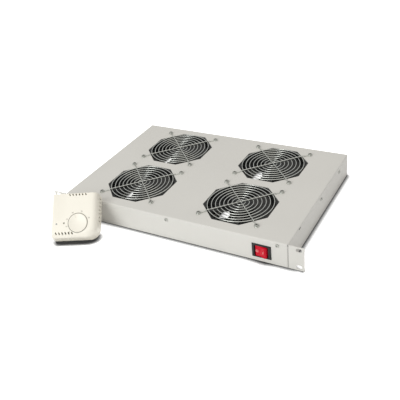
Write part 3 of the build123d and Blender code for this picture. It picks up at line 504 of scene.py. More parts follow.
def tube(name, inner, outer, low, high, segments):
    """Upright tube."""
    return lathe(name, [(inner, low), (outer, low), (outer, high), (inner, high)], segments, True)


def rounded(low, high, radius, steps=4):
    """Points of a quarter round from pair low to pair high, bulging away from the axis."""
    turns = [math.pi / 2 * i / steps for i in range(steps + 1)]
    return [(low[0] - radius * (1 - math.cos(t)), high[1] - radius * (1 - math.sin(t))) for t in turns]


def loft(name, levels):
    """Solid through closed rings of points, all with the same number of them."""
    bm = bmesh.new()
    rings = [[bm.verts.new(point) for point in level] for level in levels]
    number = len(rings[0])
    for low, high in zip(rings, rings[1:]):
        for i in range(number):
            j = (i + 1) % number
            bm.faces.new((low[i], low[j], high[j], high[i]))
    bm.faces.new(rings[0])
    bm.faces.new(rings[-1])
    return from_bmesh(name, bm)


def slab(name, outline, low, high):
    """Upright solid on a flat outline, between two heights."""
    return loft(name, [[(x, y, z) for x, y in outline] for z in (low, high)])


def corner_arc(x, y, radius, start, steps):
    """Points of a quarter turn about x, y from a start angle in degrees."""
    turns = [math.radians(start + 90 * i / steps) for i in range(steps + 1)]
    return [(x + radius * math.cos(t), y + radius * math.sin(t)) for t in turns]


def box_outline(x0, y0, x1, y1, radii, steps=6):
    """Rectangle with one radius, or a list of four: lower left, lower right, upper right, upper left."""
    a, b, c, d = radii if isinstance(radii, list) else [radii] * 4
    return (
        corner_arc(x0 + a, y0 + a, a, 180, steps)
        + corner_arc(x1 - b, y0 + b, b, 270, steps)
        + corner_arc(x1 - c, y1 - c, c, 0, steps)
        + corner_arc(x0 + d, y1 - d, d, 90, steps)
    )


def bevelled(piece, width, segments=2):
    """Round a piece's sharp edges."""
    modifier = piece.modifiers.new("round", "BEVEL")
    modifier.width = width
    modifier.segments = segments
    modifier.limit_method = "ANGLE"
    modifier.angle_limit = math.radians(30)
    bake(piece)
    smooth(piece.data, 50.0)
    return piece


def settle(piece, body, finish_name, *replaced):
    """Give a finished piece its material and body, and hide the nodes it stands for."""
    piece.data.materials.clear()
    piece.data.materials.append(MATERIALS[finish_name])
    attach(piece, body)
    if replaced:
        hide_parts(*replaced)
    return piece


# Geometry nodes


def geometry_tree(name, **sockets):
    """A geometry tree with named inputs, the inputs, and what adds a node to the tree."""
    tree = bpy.data.node_groups.new(name, "GeometryNodeTree")
    tree.interface.new_socket(name="Geometry", in_out="OUTPUT", socket_type="NodeSocketGeometry")
    for label, kind in {"Geometry": "Geometry", **sockets}.items():
        tree.interface.new_socket(name=label, in_out="INPUT", socket_type="NodeSocket" + kind)
    return tree, tree.nodes.new("NodeGroupInput").outputs, partial(add, tree)


def close_tree(tree, geometry, material=None, even=False):
    """End a tree in real geometry, with its material and smooth where asked."""
    last = add(tree, "RealizeInstances", Geometry=geometry)
    if even:
        last = add(tree, "SetShadeSmooth", Geometry=last)
    if material is not None:
        last = add(tree, "SetMaterial", Geometry=last, Material=material)
    tree.links.new(last.outputs[0], tree.nodes.new("NodeGroupOutput").inputs[0])
    return tree


def grow(piece, tree, values):
    """Run a tree on a piece with these input values and keep the result as a plain mesh."""
    modifier = piece.modifiers.new(tree.name, "NODES")
    modifier.node_group = tree
    for item in tree.interface.items_tree:
        if item.item_type == "SOCKET" and item.in_out == "INPUT" and item.name in values:
            modifier[item.identifier] = values[item.name]
    bpy.context.view_layer.update()
    return bake(piece)


def guard_tree():
    """Round wires: rings under two straight wires that step down to an eye at each end."""
    lengths = dict.fromkeys(("Wire", "First", "Pitch", "Span", "Eyelet", "Base", "Step"), "Float")
    tree, get, node = geometry_tree("Finger guard", Rings="Int", Material="Material", **lengths)
    half_wire = node("Math", get["Wire"], 0.5, operation="MULTIPLY")
    profile = node("CurvePrimitiveCircle", Resolution=10, Radius=half_wire)
    radius = node("Math", node("InputIndex"), get["Pitch"], get["First"], operation="MULTIPLY_ADD")
    size = node("CombineXYZ", radius, radius, 1.0)
    unit = node("CurvePrimitiveCircle", Resolution=96, Radius=1.0)
    spots = node("Points", Count=get["Rings"])
    rings = node("RealizeInstances", Geometry=node("InstanceOnPoints", Points=spots, Instance=unit, Scale=size))

    eye = node("CurvePrimitiveCircle", Resolution=24, Radius=get["Eyelet"])
    corners = node("MeshGrid", Size_X=get["Span"], Size_Y=get["Span"], Vertices_X=2, Vertices_Y=2)
    eyes = node("RealizeInstances", Geometry=node("InstanceOnPoints", Points=corners, Instance=eye))

    inner = node("Math", get["Eyelet"], -math.sqrt(2), operation="MULTIPLY")
    reach = node("Math", get["Span"], inner, operation="ADD")
    half = node("Math", reach, 0.5, operation="MULTIPLY")
    far = node("CombineXYZ", half, half)
    near = node("VectorMath", far, Scale=-1.0, operation="SCALE")
    line = node("ResampleCurve", Curve=node("CurvePrimitiveLine", Start=near, End=far), Count=81)
    out = node("VectorMath", node("InputPosition"), operation="LENGTH").outputs["Value"]
    foot = node("Math", get["Step"], STEP_RUN, operation="ADD")
    height = node("MapRange", Value=out, From_Min=get["Step"], From_Max=foot, To_Min=get["Wire"], To_Max=0.0,
                  interpolation_type="SMOOTHSTEP")
    bar = node("SetPosition", Geometry=line, Offset=node("CombineXYZ", Z=height))
    turned = node("Transform", Geometry=bar, Rotation=(0.0, 0.0, math.pi / 2))

    lines = node("JoinGeometry")
    for curve in (rings, eyes, bar, turned):
        tree.links.new(curve.outputs[0], lines.inputs[0])
    even = node("SetCurveRadius", Curve=lines, Radius=1.0)
    wires = node("CurveToMesh", Curve=even, Profile_Curve=profile, Fill_Caps=True)
    rise = node("Math", get["Base"], half_wire, operation="ADD")
    set_up = node("Transform", Geometry=wires, Translation=node("CombineXYZ", Z=rise))
    guards = node("InstanceOnPoints", Points=get["Geometry"], Instance=set_up)
    return close_tree(tree, guards, get["Material"], even=True)


def copies_tree():
    """A template object repeated on points that carry the way it faces."""
    tree, get, node = geometry_tree("Fasteners", Template="Object", Material="Material")
    template = node("ObjectInfo", Object=get["Template"]).outputs["Geometry"]
    facing = node("InputNamedAttribute", Name="facing", data_type="FLOAT_VECTOR")
    turn = node("InputNamedAttribute", Name="turn", data_type="FLOAT")
    aligned = node("AlignRotationToVector", Vector=facing, axis="Z")
    own = node("EulerToRotation", Euler=node("CombineXYZ", Z=turn))
    both = node("RotateRotation", Rotation=aligned, Rotate_By=own, rotation_space="LOCAL")
    placed = node("InstanceOnPoints", Points=get["Geometry"], Instance=template, Rotation=both)
    return close_tree(tree, placed, get["Material"])


def wheel_tree():
    """A template repeated in even turns about the z axis."""
    tree, get, node = geometry_tree("Wheel", Template="Object", Count="Int", Material="Material")
    template = node("ObjectInfo", Object=get["Template"]).outputs["Geometry"]
    spots = node("Points", Count=get["Count"])
    share = node("Math", 2 * math.pi, get["Count"], operation="DIVIDE")
    turn = node("Math", node("InputIndex"), share, operation="MULTIPLY")
    placed = node("InstanceOnPoints", Points=spots, Instance=template, Rotation=node("CombineXYZ", Z=turn))
    both = node("JoinGeometry")
    for geometry in (placed.outputs[0], get["Geometry"]):
        tree.links.new(geometry, both.inputs[0])
    return close_tree(tree, both, get["Material"])


def row_tree():
    """A template repeated in a straight row."""
    tree, get, node = geometry_tree("Row", Template="Object", Count="Int", Step="Vector")
    template = node("ObjectInfo", Object=get["Template"]).outputs["Geometry"]
    along = node("VectorMath", get["Step"], Scale=node("InputIndex"), operation="SCALE")
    spread = node("SetPosition", Geometry=node("Points", Count=get["Count"]), Offset=along)
    return close_tree(tree, node("InstanceOnPoints", Points=spread, Instance=template))


def dots(name, places, facings=None):
    """An object of loose points, each with the way it faces and a turn of its own."""
    mesh = bpy.data.meshes.new(name)
    mesh.from_pydata([tuple(p) for p in places], [], [])
    if facings:
        facing = mesh.attributes.new("facing", "FLOAT_VECTOR", "POINT")
        facing.data.foreach_set("vector", [value for way in facings for value in way])
        turn = mesh.attributes.new("turn", "FLOAT", "POINT")
        turn.data.foreach_set("value", [1.7 * i for i in range(len(places))])
    return new_piece(name, mesh)


def row(name, template, number, step):
    """A row of copies of a template, which is removed."""
    piece = dots(name, [(0, 0, 0)])
    grow(piece, row_tree(), {"Template": template, "Count": number, "Step": step})
    bpy.data.objects.remove(template)
    return piece


# Pieces


class FANTRAY_OT_finishes(bpy.types.Operator):
    """Give every CAD node its material"""

    bl_idname = "fan_tray.finishes"
    bl_label = "Finishes"

    def execute(self, context):
        MATERIALS.update(make_materials())
        for name, node in frame["nodes"].items():
            found = next(kind for start, kind in NODE_FINISHES.items() if name.startswith(start))
            node.data.materials.clear()
            node.data.materials.append(MATERIALS[found])
        return {"FINISHED"}


class FANTRAY_OT_guards(bpy.types.Operator):
    """Lay a wire finger guard over each fan"""

    bl_idname = "fan_tray.guards"
    bl_label = "Finger guards"

    def execute(self, context):
        g = settings().guards
        piece = dots("finger_guards", [(place.x, place.y, 0) for place in FANS.values()])
        sizes = {key.capitalize(): getattr(g, key) for key in FanTrayGuards.__annotations__}
        grow(piece, guard_tree(), {**sizes, "Base": TOP, "Material": MATERIALS["wire"]})
        settle(piece, TRAY, "wire", *["guard_" + name for name in FANS])
        return {"FINISHED"}


def screw_template(head, rise, shank, reach):
    """Pan-head screw with a cross recess, its head on z = 0."""
    crown = 0.45 * rise
    profile = [(0, -reach), (shank * 0.8, -reach), (shank, -reach + 0.3 * MM), (shank, 0), (head, 0)]
    profile += [(head, rise - crown)]
    steps = 6
    for i in range(1, steps + 1):
        t = math.pi / 2 * i / steps
        profile.append((head * math.cos(t) if i < steps else 0, rise - crown + crown * math.sin(t)))
    screw = lathe("screw_template", profile, 28)
    arm, width, depth = 0.55 * head, 0.17 * head, 0.6 * rise
    quarter = [(arm, -width), (arm, width), (width, width)]
    outline = []
    for _ in range(4):
        outline += quarter
        quarter = [(-y, x) for x, y in quarter]
    return cut(screw, slab("recess", outline, rise - depth, rise + depth))


class FANTRAY_OT_screws(bpy.types.Operator):
    """Set the screws of the guards, the case and the inlet"""

    bl_idname = "fan_tray.screws"
    bl_label = "Screws"

    def execute(self, context):
        s = settings().screws
        g = settings().guards
        half = g.span / 2
        places = []
        for centre in FANS.values():
            corners = [(x, y) for x in (-half, half) for y in (-half, half)]
            places += [(centre.x + x, centre.y + y, TOP + g.wire) for x, y in corners]
        self.place("guard_screw_set", places, [(0, 0, 1)] * len(places), "guard_screws",
                   (s.head, s.rise, s.shank, s.reach))

        small = (s.case_head, s.case_rise, s.case_shank, s.case_reach)
        places = [(x, 0, TOP - s.front_drop) for x in (-s.front_x, 0, s.front_x)]
        facings = [(0, -1, 0)] * len(places)
        for side in (-1, 1):
            for y in (s.side_front_y, s.side_rear_y):
                places.append((side * s.side_x, y, TOP - s.side_drop))
                facings.append((side, 0, 0))
        self.place("case_screw_set", places, facings, "case_screws", small)

        xs = (s.inlet_x - s.inlet_span / 2, s.inlet_x + s.inlet_span / 2)
        places = [(x, REAR + s.inlet_flange, 0) for x in xs]
        self.place("inlet_screw_set", places, [(0, 1, 0)] * len(places), "inlet_screws", small)
        return {"FINISHED"}

    def place(self, name, places, facings, node, sizes):
        template = screw_template(*sizes)
        piece = dots(name, places, facings)
        grow(piece, copies_tree(), {"Template": template, "Material": MATERIALS["zinc"]})
        bpy.data.objects.remove(template)
        settle(piece, TRAY, "zinc", node)


class FANTRAY_OT_fan_frames(bpy.types.Operator):
    """Cast frames with a flared duct, struts and the motor's seat"""

    bl_idname = "fan_tray.fan_frames"
    bl_label = "Fan frames"

    def execute(self, context):
        f = settings().fans
        half = f.size / 2
        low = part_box("fan_frame_front_left")[0].z
        high = low + f.depth
        for name, centre in FANS.items():
            outline = box_outline(-half, -half, half, half, f.corner)
            body = slab("fan_frame_dress_" + name, outline, low, high)
            turns = [math.pi / 2 * i / 5 for i in range(6)]
            flare = [(f.duct + f.flare * (1 - math.sin(t)), 3 * MM * (1 - math.cos(t))) for t in turns]
            bore = [(0, low - OVER), (f.duct + f.flare, low - OVER)]
            bore += [(r, low + z) for r, z in flare] + [(r, high - z) for r, z in reversed(flare)]
            bore += [(f.duct + f.flare, high + OVER), (0, high + OVER)]
            cut(body, lathe("bore", bore, 96))
            pieces = [self.strut(f, low, i) for i in range(4)]
            tube_radius, tube_height = BEARING_TUBE
            floor = low + SEAT_THICKNESS
            seat = [(0, low), (SEAT_RADIUS - 0.8 * MM, low), (SEAT_RADIUS, low + 0.8 * MM)]
            seat += [(SEAT_RADIUS, floor), (tube_radius, floor), (tube_radius, low + tube_height)]
            seat += [(0, low + tube_height)]
            join(body, *pieces, lathe("seat", seat))
            settle(moved(body, (centre.x, centre.y, 0)), TRAY, "cast", "fan_frame_" + name)
        return {"FINISHED"}

    def strut(self, f, low, number):
        start, width, height = STRUT
        outline = box_outline(start, -width / 2, f.duct + 1 * MM, width / 2, 0.4 * MM, 2)
        bar = bevelled(slab("strut", outline, low, low + height), 0.5 * MM)
        return moved(bar, (0, 0, 0), STRUT_ANGLE + 90 * number)


class FANTRAY_OT_impellers(bpy.types.Operator):
    """Impellers with cambered, swept blades round a domed hub"""

    bl_idname = "fan_tray.impellers"
    bl_label = "Impellers"

    def execute(self, context):
        f = settings().fans
        for name, centre in FANS.items():
            top = centre.z
            low = top - f.hub_height
            inside = (f.hub - HUB_WALL, top - HUB_WALL)
            profile = [(0, top - 0.6 * MM), (9 * MM, top - 0.6 * MM), (9.4 * MM, top)]
            profile += list(reversed(rounded((f.hub, low), (0, top), 1.6 * MM, 5)))
            profile += [(f.hub, low), (inside[0], low), inside, (0, inside[1])]
            hub = lathe("impeller_dress_" + name, profile, 72)
            blade = self.blade(f, low + f.hub_height / 2 - f.camber / 2)
            blade.data.transform(Matrix.Rotation(f.turn, 4, "Z"))
            grow(hub, wheel_tree(), {"Template": blade, "Count": f.blades, "Material": MATERIALS["blade"]})
            bpy.data.objects.remove(blade)
            settle(moved(hub, (centre.x, centre.y, 0)), "impeller_" + name, "blade", "impeller_" + name)
        return {"FINISHED"}

    def blade(self, f, middle):
        bm = bmesh.new()
        across, along = 14, 18
        sine, cosine = math.sin(f.pitch), math.cos(f.pitch)
        rows = []
        for i in range(across + 1):
            share = i / across
            radius = f.hub - BLADE_ROOT + (f.tip - f.hub + BLADE_ROOT) * share
            width = f.root_width + (f.tip_width - f.root_width) * share
            line = []
            for j in range(along + 1):
                y = f.sweep * share + width * (j / along - 0.5)
                w = y / cosine
                for _ in range(4):
                    rise = f.camber * (1 - (2 * w / f.chord) ** 2)
                    w = (y + rise * sine) / cosine
                rise = f.camber * (1 - (2 * w / f.chord) ** 2)
                x = math.sqrt(radius ** 2 - y ** 2)
                line.append(bm.verts.new((x, y, middle + w * sine + rise * cosine)))
            rows.append(line)
        for near, far in zip(rows, rows[1:]):
            for j in range(along):
                bm.faces.new((near[j], far[j], far[j + 1], near[j + 1]))
        piece = from_bmesh("blade", bm)
        solid = piece.modifiers.new("solid", "SOLIDIFY")
        solid.thickness = f.thickness
        solid.offset = 1.0
        bake(piece)
        return bevelled(piece, 0.5 * MM)


class FANTRAY_OT_leads(bpy.types.Operator):
    """Round twin leads from the motors and from the inlet"""

    bl_idname = "fan_tray.leads"
    bl_label = "Leads"

    def execute(self, context):
        f = settings().fans
        for name, centre in FANS.items():
            low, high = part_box("fan_leads_" + name)
            z = (low.z + high.z) / 2
            lane = low.y + 1.8 * MM if name.startswith("rear") else high.y - 1.8 * MM
            # From the motor, in a slack bend, out through the frame and along to the lane.
            steps = [(-21, -8), (-36, -16), (-45, -26), (-41, -4), (-46.25, 14), (-66.5, 14)]
            route = [(centre.x + a * MM, centre.y + b * MM, z) for a, b in steps]
            route += [(route[-1][0], lane, z), (high.x, lane, z)]
            piece = self.twin("fan_lead_pair_" + name, route, f.lead)
            settle(piece, TRAY, "sleeve", "fan_leads_" + name)
        low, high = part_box("supply_leads")
        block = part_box("terminal_block")
        middle = (block[0].x + block[1].x) / 2
        start = low.x + 1.8 * MM
        z = (low.z + high.z) / 2
        bend = 20 * MM
        rear = [(middle, high.y, z), (middle, block[1].y + bend / 2, z), (middle, block[1].y, z)]
        front = [(start, low.y, z), (start, low.y + bend, z)]
        front += [(middle, low.y + 2 * bend, z), (middle, block[0].y, z)]
        pair = join(self.twin("supply_lead_pairs", rear, f.lead), self.twin("front_pair", front, f.lead))
        settle(pair, TRAY, "black_sleeve", "supply_leads")
        return {"FINISHED"}

    def twin(self, name, points, thickness):
        curve = bpy.data.curves.new(name, "CURVE")
        curve.dimensions = "3D"
        curve.bevel_depth = thickness / 2
        curve.bevel_resolution = 3
        curve.use_fill_caps = True
        curve.resolution_u = 8
        line = [Vector(p) for p in points]
        for side in (-1, 1):
            spline = curve.splines.new("NURBS")
            spline.points.add(len(line) - 1)
            for i, point in enumerate(line):
                before = line[max(i - 1, 0)]
                after = line[min(i + 1, len(line) - 1)]
                way = (after - before).normalized()
                aside = Vector((-way.y, way.x, 0)) * side * thickness * 0.56
                spline.points[i].co = (*(point + aside), 1)
            spline.order_u = 3
            spline.use_endpoint_u = True
        return new_piece(name, smooth(plain(new_piece(name + "_line", curve)), 60.0))


class FANTRAY_OT_switch(bpy.types.Operator):
    """The lit rocker with its marks"""

    bl_idname = "fan_tray.switch"
    bl_label = "Rocker switch"

    def execute(self, context):
        s = settings().switch
        pivot = Vector(JOINTS["switch_rock"]["pos_m"])
        face = pivot.y - s.pivot
        half = [(s.edge, 0), (s.edge - 0.4 * MM, -1.4 * MM), (s.ridge_x, -s.ridge_y)]
        steps = 8
        for i in range(1, steps):
            share = i / steps
            half.append((s.ridge_x * (1 - share), self.dish(s, 1 - share)))
        half.append((0, -s.dip_y))
        other = [(-x, y) for x, y in reversed(half[:-1])]
        outline = half + other + [(-s.waist, s.keel), (s.waist, s.keel)]
        rocker = bevelled(slab("rocker_lens", outline, -s.height / 2, s.height / 2), 0.7 * MM, 3)
        self.tilt(rocker, s, pivot, face)
        settle(rocker, "rocker", "lens", "switch_rocker")
        marks = self.marks(s)
        self.tilt(marks, s, pivot, face)
        settle(marks, "rocker", "mark")
        return {"FINISHED"}

    def dish(self, s, share):
        """Where the rocker's face stands at a share of the way from its middle to a ridge."""
        return -s.dip_y - (s.ridge_y - s.dip_y) * share ** 2

    def tilt(self, piece, s, pivot, face):
        about = Matrix.Translation((0, s.pivot, 0))
        turned = about @ Matrix.Rotation(-s.tilt, 4, "Z") @ about.inverted()
        piece.data.transform(Matrix.Translation((pivot.x, face, pivot.z)) @ turned)

    def marks(self, s):
        ring = tube("rocker_print", 1.5 * MM, 2.1 * MM, 0, MARK_HEIGHT, 32)
        stroke = box_outline(-0.35 * MM, -2 * MM, 0.35 * MM, 2 * MM, 0.1 * MM, 1)
        bar = slab("bar", stroke, 0, MARK_HEIGHT)
        y = self.dish(s, MARK_X / s.ridge_x)
        slope = math.atan(2 * (s.ridge_y - s.dip_y) * MARK_X / s.ridge_x ** 2)
        for piece, side in ((ring, -1), (bar, 1)):
            stand = Matrix.Translation((side * MARK_X, y + 0.05 * MM, 0))
            stand = stand @ Matrix.Rotation(-side * slope, 4, "Z")
            piece.data.transform(stand @ Matrix.Rotation(math.pi / 2, 4, "X"))
        return join(ring, bar)


def thermostat_frame():
    """Matrix from the thermostat's own frame, its back's lower left corner, to the scene."""
    t = settings().thermostat
    joint = JOINTS["dial_turn"]
    out = Vector(joint["axis"]).normalized()
    right = Vector((-out.y, out.x, 0)).normalized()
    up = out.cross(right)
    origin = Vector(joint["pos_m"]) - right * t.dial_x - up * t.dial_y - out * t.depth
    turned = Matrix((right, up, out)).transposed().to_4x4()
    return Matrix.Translation(origin) @ turned


class FANTRAY_OT_thermostat(bpy.types.Operator):
    """The thermostat's rounded cover, dial, print, a dark ring of painted shade in the dial's gap, and small
    parts
    """

    bl_idname = "fan_tray.thermostat"
    bl_label = "Thermostat"

    def execute(self, context):
        t = settings().thermostat
        place = thermostat_frame()
        cover, dial = self.cover(t), self.dial(t)
        dome = [(0, THERMOSTAT_BASE), (1.5 * MM, THERMOSTAT_BASE), (1.5 * MM, t.depth),
                (1.1 * MM, t.depth + 0.35 * MM), (0, t.depth + 0.4 * MM)]
        lamp = lathe("lamp_dome", dome, 32)
        head = drum("cover_screw", 1.1 * MM, THERMOSTAT_BASE, t.depth - 2 * MM, 24)
        slot = box_outline(-1.4 * MM, -0.2 * MM, 1.4 * MM, 0.2 * MM, 0.05 * MM, 1)
        cut(head, slab("slot", slot, t.depth - 2.6 * MM, t.depth))
        for piece, body, kind, *nodes in (
            (cover, TRAY, "cream", "thermostat_cover"),
            (dial, "dial", "cream", "thermostat_dial"),
            (moved(lamp, THERMOSTAT_LAMP), TRAY, "nylon", "thermostat_lamp"),
            (moved(head, THERMOSTAT_SCREW), TRAY, "zinc", "thermostat_screw"),
            (self.prints(t), TRAY, "ink"),
        ):
            piece.data.transform(place)
            settle(piece, body, kind, *nodes)
        return {"FINISHED"}

    def level(self, t, z, right, left, top):
        """The cover's outline at a height, drawn in by so much at each edge."""
        radii = [1.2 * MM, t.corner - 0.4 * right, 1.6 * MM, 1.2 * MM]
        outline = box_outline(left, right, t.width - right, t.height - top, radii, 16)
        return [(x, y, z) for x, y in outline]

    def cover(self, t):
        steps = 10
        levels = [self.level(t, 0.0, 0.0, 0.0, 0.0)]
        for i in range(steps + 1):
            turn = math.pi / 2 * i / steps
            drop, pull = 1 - math.sin(turn), 1 - math.cos(turn)
            right, left, top = 0.9 * t.edge, t.bevel, 1.0 * MM
            levels.append(self.level(t, t.depth - t.edge * drop, right * pull, left * pull, top * pull))
        cover = loft("thermostat_shell", levels)
        radii = [0.5 * MM, t.corner - t.wall, 0.5 * MM, 0.5 * MM]
        inside = box_outline(t.wall, t.wall, t.width - t.wall, t.height - t.wall, radii, 12)
        hollow = slab("hollow", inside, -OVER, t.depth - 4 * MM)
        recess = drum("recess", t.dial + DIAL_GAP, t.depth - t.recess, t.depth + OVER, 96)
        moved(recess, (t.dial_x, t.dial_y, 0))
        pit = moved(drum("pit", 1.5 * MM, t.depth - 5 * MM, t.depth + OVER, 24), THERMOSTAT_SCREW)
        top_row = self.vent_row(t, 46 * MM, t.height - 3.2 * MM, 1.9 * MM)
        low_row = self.vent_row(t, 24 * MM, 6.5 * MM, 2.3 * MM)
        grooves = 7
        step = 6.6 * MM
        first = 49.5 * MM - grooves // 2 * step
        outline = box_outline(0, -1.1 * MM, 10 * MM, 1.1 * MM, 0.3 * MM, 2)
        rib = slab("rib", outline, 8 * MM, t.depth + 2 * MM)
        moved(rib, (t.width + 0.8 * MM, first, -3 * MM), -38, "Y")
        ribs = row("ribs", rib, grooves, (0, step, 0))
        return cut(cover, hollow, recess, pit, top_row, low_row, ribs)

    def vent_row(self, t, middle, y, reach):
        outline = box_outline(-1.1 * MM, -reach, 1.1 * MM, reach, 0.5 * MM, 3)
        slot = slab("vent", outline, t.depth - 6 * MM, t.depth + OVER)
        moved(slot, (middle - (t.vents - 1) / 2 * t.vent_pitch, y, 0), 25)
        return row("vents", slot, t.vents, (t.vent_pitch, 0, 0))

    def dial(self, t):
        low = t.depth - t.recess + 0.4 * MM
        high = low + 3.6 * MM
        rim = t.dial - 1.4 * MM
        profile = [(0, low), (t.dial, low), (t.dial, high - 1 * MM)]
        profile += rounded((t.dial, low), (0, high), 1 * MM, 5)[1:]
        profile += [(rim - 0.3 * MM, high - 0.35 * MM), (0, high - 0.35 * MM)]
        knob = lathe("dial_knob", profile, 96)
        outline = box_outline(-0.4 * MM, 9 * MM, 0.4 * MM, 15 * MM, 0.2 * MM, 2)
        pointer = slab("pointer", outline, high - 0.9 * MM, high + OVER)
        return moved(cut(knob, moved(pointer, (0, 0, 0), 20)), (t.dial_x, t.dial_y, 0))

    def prints(self, t):
        low, high = t.depth - 1 * MM, t.depth + 0.2 * MM
        # A dark ring of the grey ink laid in the gap round the dial: painted shade for the shadow in the gap.
        edge = tube("dial_gap", t.dial + 0.1 * MM, t.dial + DIAL_GAP, low, high, 96)
        pieces = [moved(edge, (t.dial_x, t.dial_y, 0))]
        for number, turn in zip((5, 10, 15, 20, 25, 30), (228, 196, 160, 118, 72, 23)):
            text = bpy.data.curves.new("number", "FONT")
            text.body = str(number)
            text.size = 3.6 * MM
            text.align_x = "CENTER"
            text.align_y = "CENTER"
            text.extrude = 0.06 * MM
            mesh = plain(new_piece("number", text))
            x = t.dial_x + t.marks * math.cos(math.radians(turn))
            y = t.dial_y + t.marks * math.sin(math.radians(turn))
            pieces.append(moved(new_piece("number", mesh), (x, y, t.depth + 0.02 * MM)))
        piece = join(*pieces)
        piece.name = "dial_numbers"
        return piece


class FANTRAY_OT_rear(bpy.types.Operator):
    """The seal in the cable gland, and dark strips, dots and slits beside the ears: painted shade in the seams,
    relief holes and notches
    """

    bl_idname = "fan_tray.rear"
    bl_label = "Rear fittings"

    def execute(self, context):
        # Thin black strips in the seams between front and ears, a dot at each relief hole and a slit at each
        # notch: painted shade standing for the shadow in those gaps.
        seam_shades = []
        for side in (-1, 1):
            x = side * settings().screws.side_x
            half = 0.28 * MM
            outline = box_outline(x - half, -0.03 * MM, x + half, 0.3 * MM, 0.02 * MM, 1)
            seam_shade_strip = slab("seam", outline, FLOOR + 0.4 * MM, TOP - 3 * MM)
            relief = drum("relief", 0.9 * MM, 0, 1.2 * MM, 20)
            moved(relief, (x, -0.02 * MM, TOP - 1.8 * MM), -90, "X")
            outline = box_outline(x - 0.4 * MM, 46 * MM, x + 0.4 * MM, 53 * MM, 0.3 * MM, 2)
            seam_shades += [seam_shade_strip, relief, slab("notch", outline, TOP - 3.2 * MM, TOP - 1.9 * MM)]
        settle(join(*seam_shades), TRAY, "rubber")
        low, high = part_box("cable_gland")
        centre = (low + high) / 2
        profile = [(2.6 * MM, 0), (3.4 * MM, 0), (3.4 * MM, 4 * MM), (3.0 * MM, 4.4 * MM), (2.6 * MM, 4 * MM)]
        seal = lathe("gland_seal", profile, 40, True)
        settle(moved(seal, (centre.x, high.y - 4.6 * MM, centre.z), -90, "X"), TRAY, "rubber")
        return {"FINISHED"}


def seen_by(node, ray):
    """One for the camera's rays and for those of one more kind, else nothing."""
    rays = node("LightPath").outputs
    return node("Math", rays["Is Camera Ray"], rays[ray], operation="MAXIMUM")


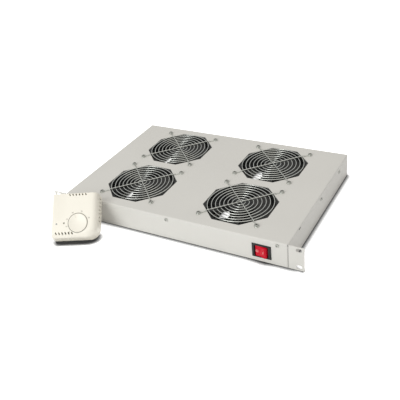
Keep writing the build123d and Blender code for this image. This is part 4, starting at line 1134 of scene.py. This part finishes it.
class FANTRAY_OT_stage(bpy.types.Operator):
    """Camera, floor, lights and background"""

    bl_idname = "fan_tray.stage"
    bl_label = "Stage"

    def execute(self, context):
        s = settings().stage
        self.camera(context, s)
        self.floor()
        self.world(context, s)
        self.lamp("key_light", (-0.5, -1.8, 1.2), 1.6, s.key, (0.98, 1.0, 1.0))
        self.lamp("top_light", (0.1, 0.5, 1.7), 1.4, s.fill, (1.0, 0.93, 0.82))
        context.scene.view_settings.view_transform = "Standard"
        return {"FINISHED"}

    def camera(self, context, s):
        data = bpy.data.cameras.new("camera")
        data.lens = s.lens
        data.sensor_width = 36.0
        data.clip_start = 0.01
        holder = new_piece("camera", data)
        place = (0.49307, -0.66363, 0.57045)
        right = Vector((0.87225, 0.47836, -0.10176))
        up = Vector((-0.18418, 0.51406, 0.83776))
        back = Vector((0.45306, -0.71198, 0.53648))
        turned = Matrix((right, up, back)).transposed().to_4x4()
        holder.matrix_world = Matrix.Translation(place) @ turned
        context.scene.camera = holder

    def floor(self):
        bm = bmesh.new()
        bmesh.ops.create_grid(bm, x_segments=1, y_segments=1, size=6.0)
        bmesh.ops.translate(bm, verts=bm.verts, vec=(0, 0, FLOOR - 0.05 * MM))
        piece = from_bmesh("floor", bm)
        # Matt white paper: seen as pure white, but for a painted contact shadow that an ambient-occlusion node
        # darkens near the object.
        material, tree, node = new_material("white_paper")
        near = node("AmbientOcclusion", Distance=14 * MM, samples=16).outputs["AO"]
        share = node("MapRange", Value=near, From_Min=0.5, From_Max=0.95, To_Min=0.16, To_Max=1.0)
        share = node("Math", share, 2.0, operation="POWER")
        paper = node("BsdfDiffuse", Color=(0.85, 0.85, 0.85, 1.0))
        dimmed = node("BsdfDiffuse", Color=node("CombineColor", share, share, share))
        lifted = node("AddShader", dimmed, node("Emission", Strength=share))
        node("OutputMaterial", Surface=node("MixShader", seen_by(node, "Is Glossy Ray"), paper, lifted))
        piece.data.materials.append(material)

    def world(self, context, s):
        world = bpy.data.worlds.new("studio")
        world.use_nodes = True
        tree = world.node_tree
        tree.nodes.clear()
        node = partial(add, tree)
        soft, white = (node("Background", Color=(1, 1, 1, 1), Strength=strength) for strength in (s.sky, 1.0))
        node("OutputWorld", Surface=node("MixShader", seen_by(node, "Is Transmission Ray"), soft, white))
        context.scene.world = world

    def lamp(self, name, place, size, power, tint):
        data = bpy.data.lights.new(name, "AREA")
        data.shape = "DISK"
        data.size = size
        data.energy = power
        data.color = tint
        holder = new_piece(name, data)
        way = Vector((0, 0.12, 0)) - Vector(place)
        holder.matrix_world = Matrix.Translation(place) @ way.to_track_quat("-Z", "Y").to_matrix().to_4x4()


class FANTRAY_PT_panel(bpy.types.Panel):
    """Sizes, colours and a button for each group of pieces"""

    bl_label = "Fan tray"
    bl_idname = "FANTRAY_PT_panel"
    bl_space_type = "VIEW_3D"
    bl_region_type = "UI"
    bl_category = "Fan tray"

    def draw(self, context):
        for operator in OPERATORS:
            self.layout.operator(operator.bl_idname)
        for name, group in GROUPS.items():
            box = self.layout.box()
            box.label(text=name.capitalize())
            for key in group.__annotations__:
                box.prop(getattr(settings(), name), key)


OPERATORS = (
    FANTRAY_OT_finishes,
    FANTRAY_OT_guards,
    FANTRAY_OT_screws,
    FANTRAY_OT_fan_frames,
    FANTRAY_OT_impellers,
    FANTRAY_OT_leads,
    FANTRAY_OT_switch,
    FANTRAY_OT_thermostat,
    FANTRAY_OT_rear,
    FANTRAY_OT_stage,
)
CLASSES = (*GROUPS.values(), FanTraySettings, *OPERATORS, FANTRAY_PT_panel)


def register():
    """Make the settings, buttons and panel known."""
    for each in CLASSES:
        bpy.utils.register_class(each)
    bpy.types.Scene.fan_tray = PointerProperty(type=FanTraySettings)


def unregister():
    """Take them away again."""
    del bpy.types.Scene.fan_tray
    for each in reversed(CLASSES):
        bpy.utils.unregister_class(each)


def main():
    """Build every piece around the frame."""
    register()
    for operator in OPERATORS:
        group, name = operator.bl_idname.split(".")
        getattr(getattr(bpy.ops, group), name)()


if __name__ == "__main__":
    main()
